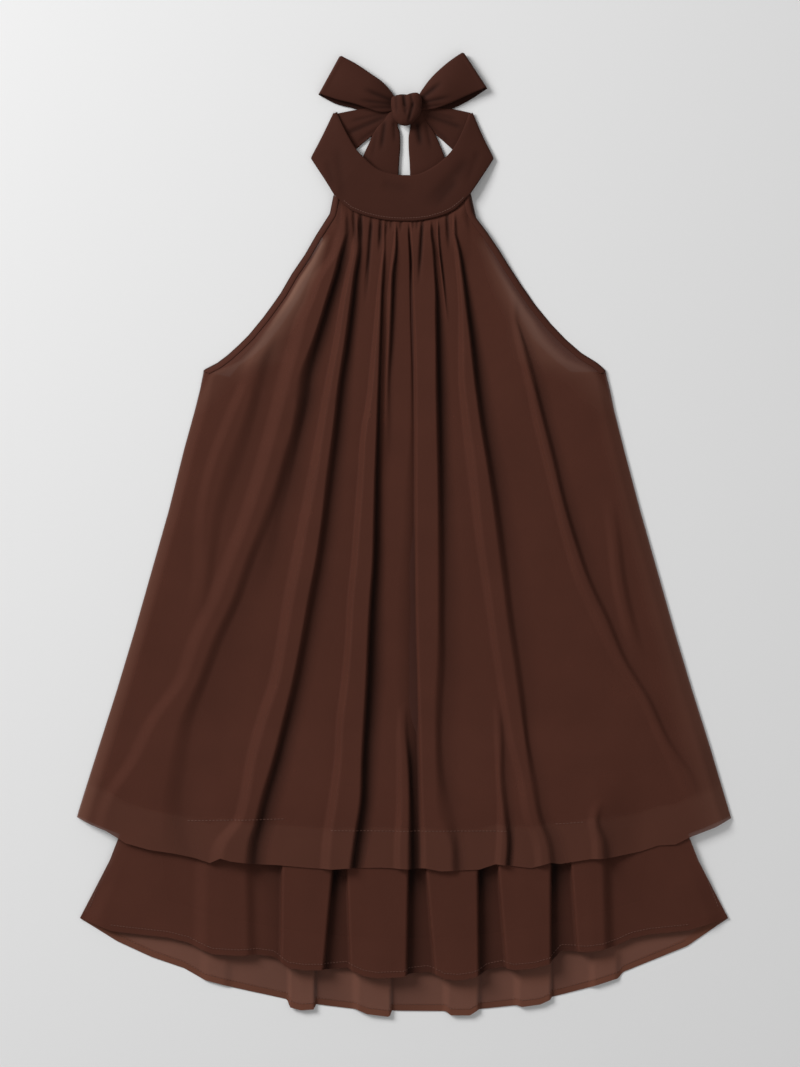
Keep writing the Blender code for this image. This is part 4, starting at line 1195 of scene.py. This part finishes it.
knotMesh.from_pydata(
    (knotPoints * mm).tolist(), [], knotFaces.tolist() + [index[0].tolist(), index[-1][::-1].tolist()]
)
# painted shade in the knot's creases
knotCrease = knotMesh.attributes.new("crease", "FLOAT", "POINT")
knotCrease.data.foreach_set("value", np.clip(dark, 0, 1).astype(np.float32).ravel())
knotMesh.shade_smooth()
knotPiece = linkPiece("bowKnot", knotMesh, cloth["bandCloth"])
attach(knotPiece, ["bow_knot"])
print("bow made")

# camera, floor and light

studio = {
    "floorSize": 6.0,
    "cameraLens": 150.0,
    "pictureHeight": 1.067,
    "pictureCentre": (-0.004, 0.0015),
    "keyPlace": (-2.6, 1.9, 2.2),
    "keySize": 1.6,
    "keyPower": 142.0,
    "fillPlace": (0.9, -0.8, 2.4),
    "fillSize": 2.2,
    "fillPower": 7.0,
    "ambient": 0.32,
}
floorMaterial, floorTree, floorShader = newMaterial("palePaper")
floorShader.inputs["Base Color"].default_value = hexColour(floorLook["colour"])
floorShader.inputs["Roughness"].default_value = floorLook["roughness"]
floorShader.inputs["Specular IOR Level"].default_value = 0.2
reach = studio["floorSize"] / mm / 2
floorCorners = ((-1, -1), (1, -1), (1, 1), (-1, 1))
floorPoints = np.array([(x * reach, y * reach, -0.3) for x, y in floorCorners])
floor = linkPiece("floor", buildMesh("floor", floorPoints, np.array([[0, 1, 2, 3]]), {}), floorMaterial)

cameraData = bpy.data.cameras.new("camera")
cameraData.lens = studio["cameraLens"]
cameraData.clip_end = 50.0
camera = bpy.data.objects.new("camera", cameraData)
camera.location = (*studio["pictureCentre"], studio["cameraLens"] / 36.0 * studio["pictureHeight"])
bpy.context.scene.collection.objects.link(camera)
bpy.context.scene.camera = camera


def addLight(name, place, size, power):
    light = bpy.data.lights.new(name, "AREA")
    light.size = size
    light.energy = power
    lamp = bpy.data.objects.new(name, light)
    lamp.location = place
    lamp.rotation_mode = "QUATERNION"
    lamp.rotation_quaternion = lamp.location.to_track_quat("Z", "Y")
    bpy.context.scene.collection.objects.link(lamp)


addLight("key", studio["keyPlace"], studio["keySize"], studio["keyPower"])
addLight("fill", studio["fillPlace"], studio["fillSize"], studio["fillPower"])
world = bpy.context.scene.world or bpy.data.worlds.new("studio")
bpy.context.scene.world = world
world.use_nodes = True
background = world.node_tree.nodes["Background"]
background.inputs["Color"].default_value = (1.0, 1.0, 1.0, 1.0)
background.inputs["Strength"].default_value = studio["ambient"]
bpy.context.scene.view_settings.view_transform = "Standard"
print("stage set")
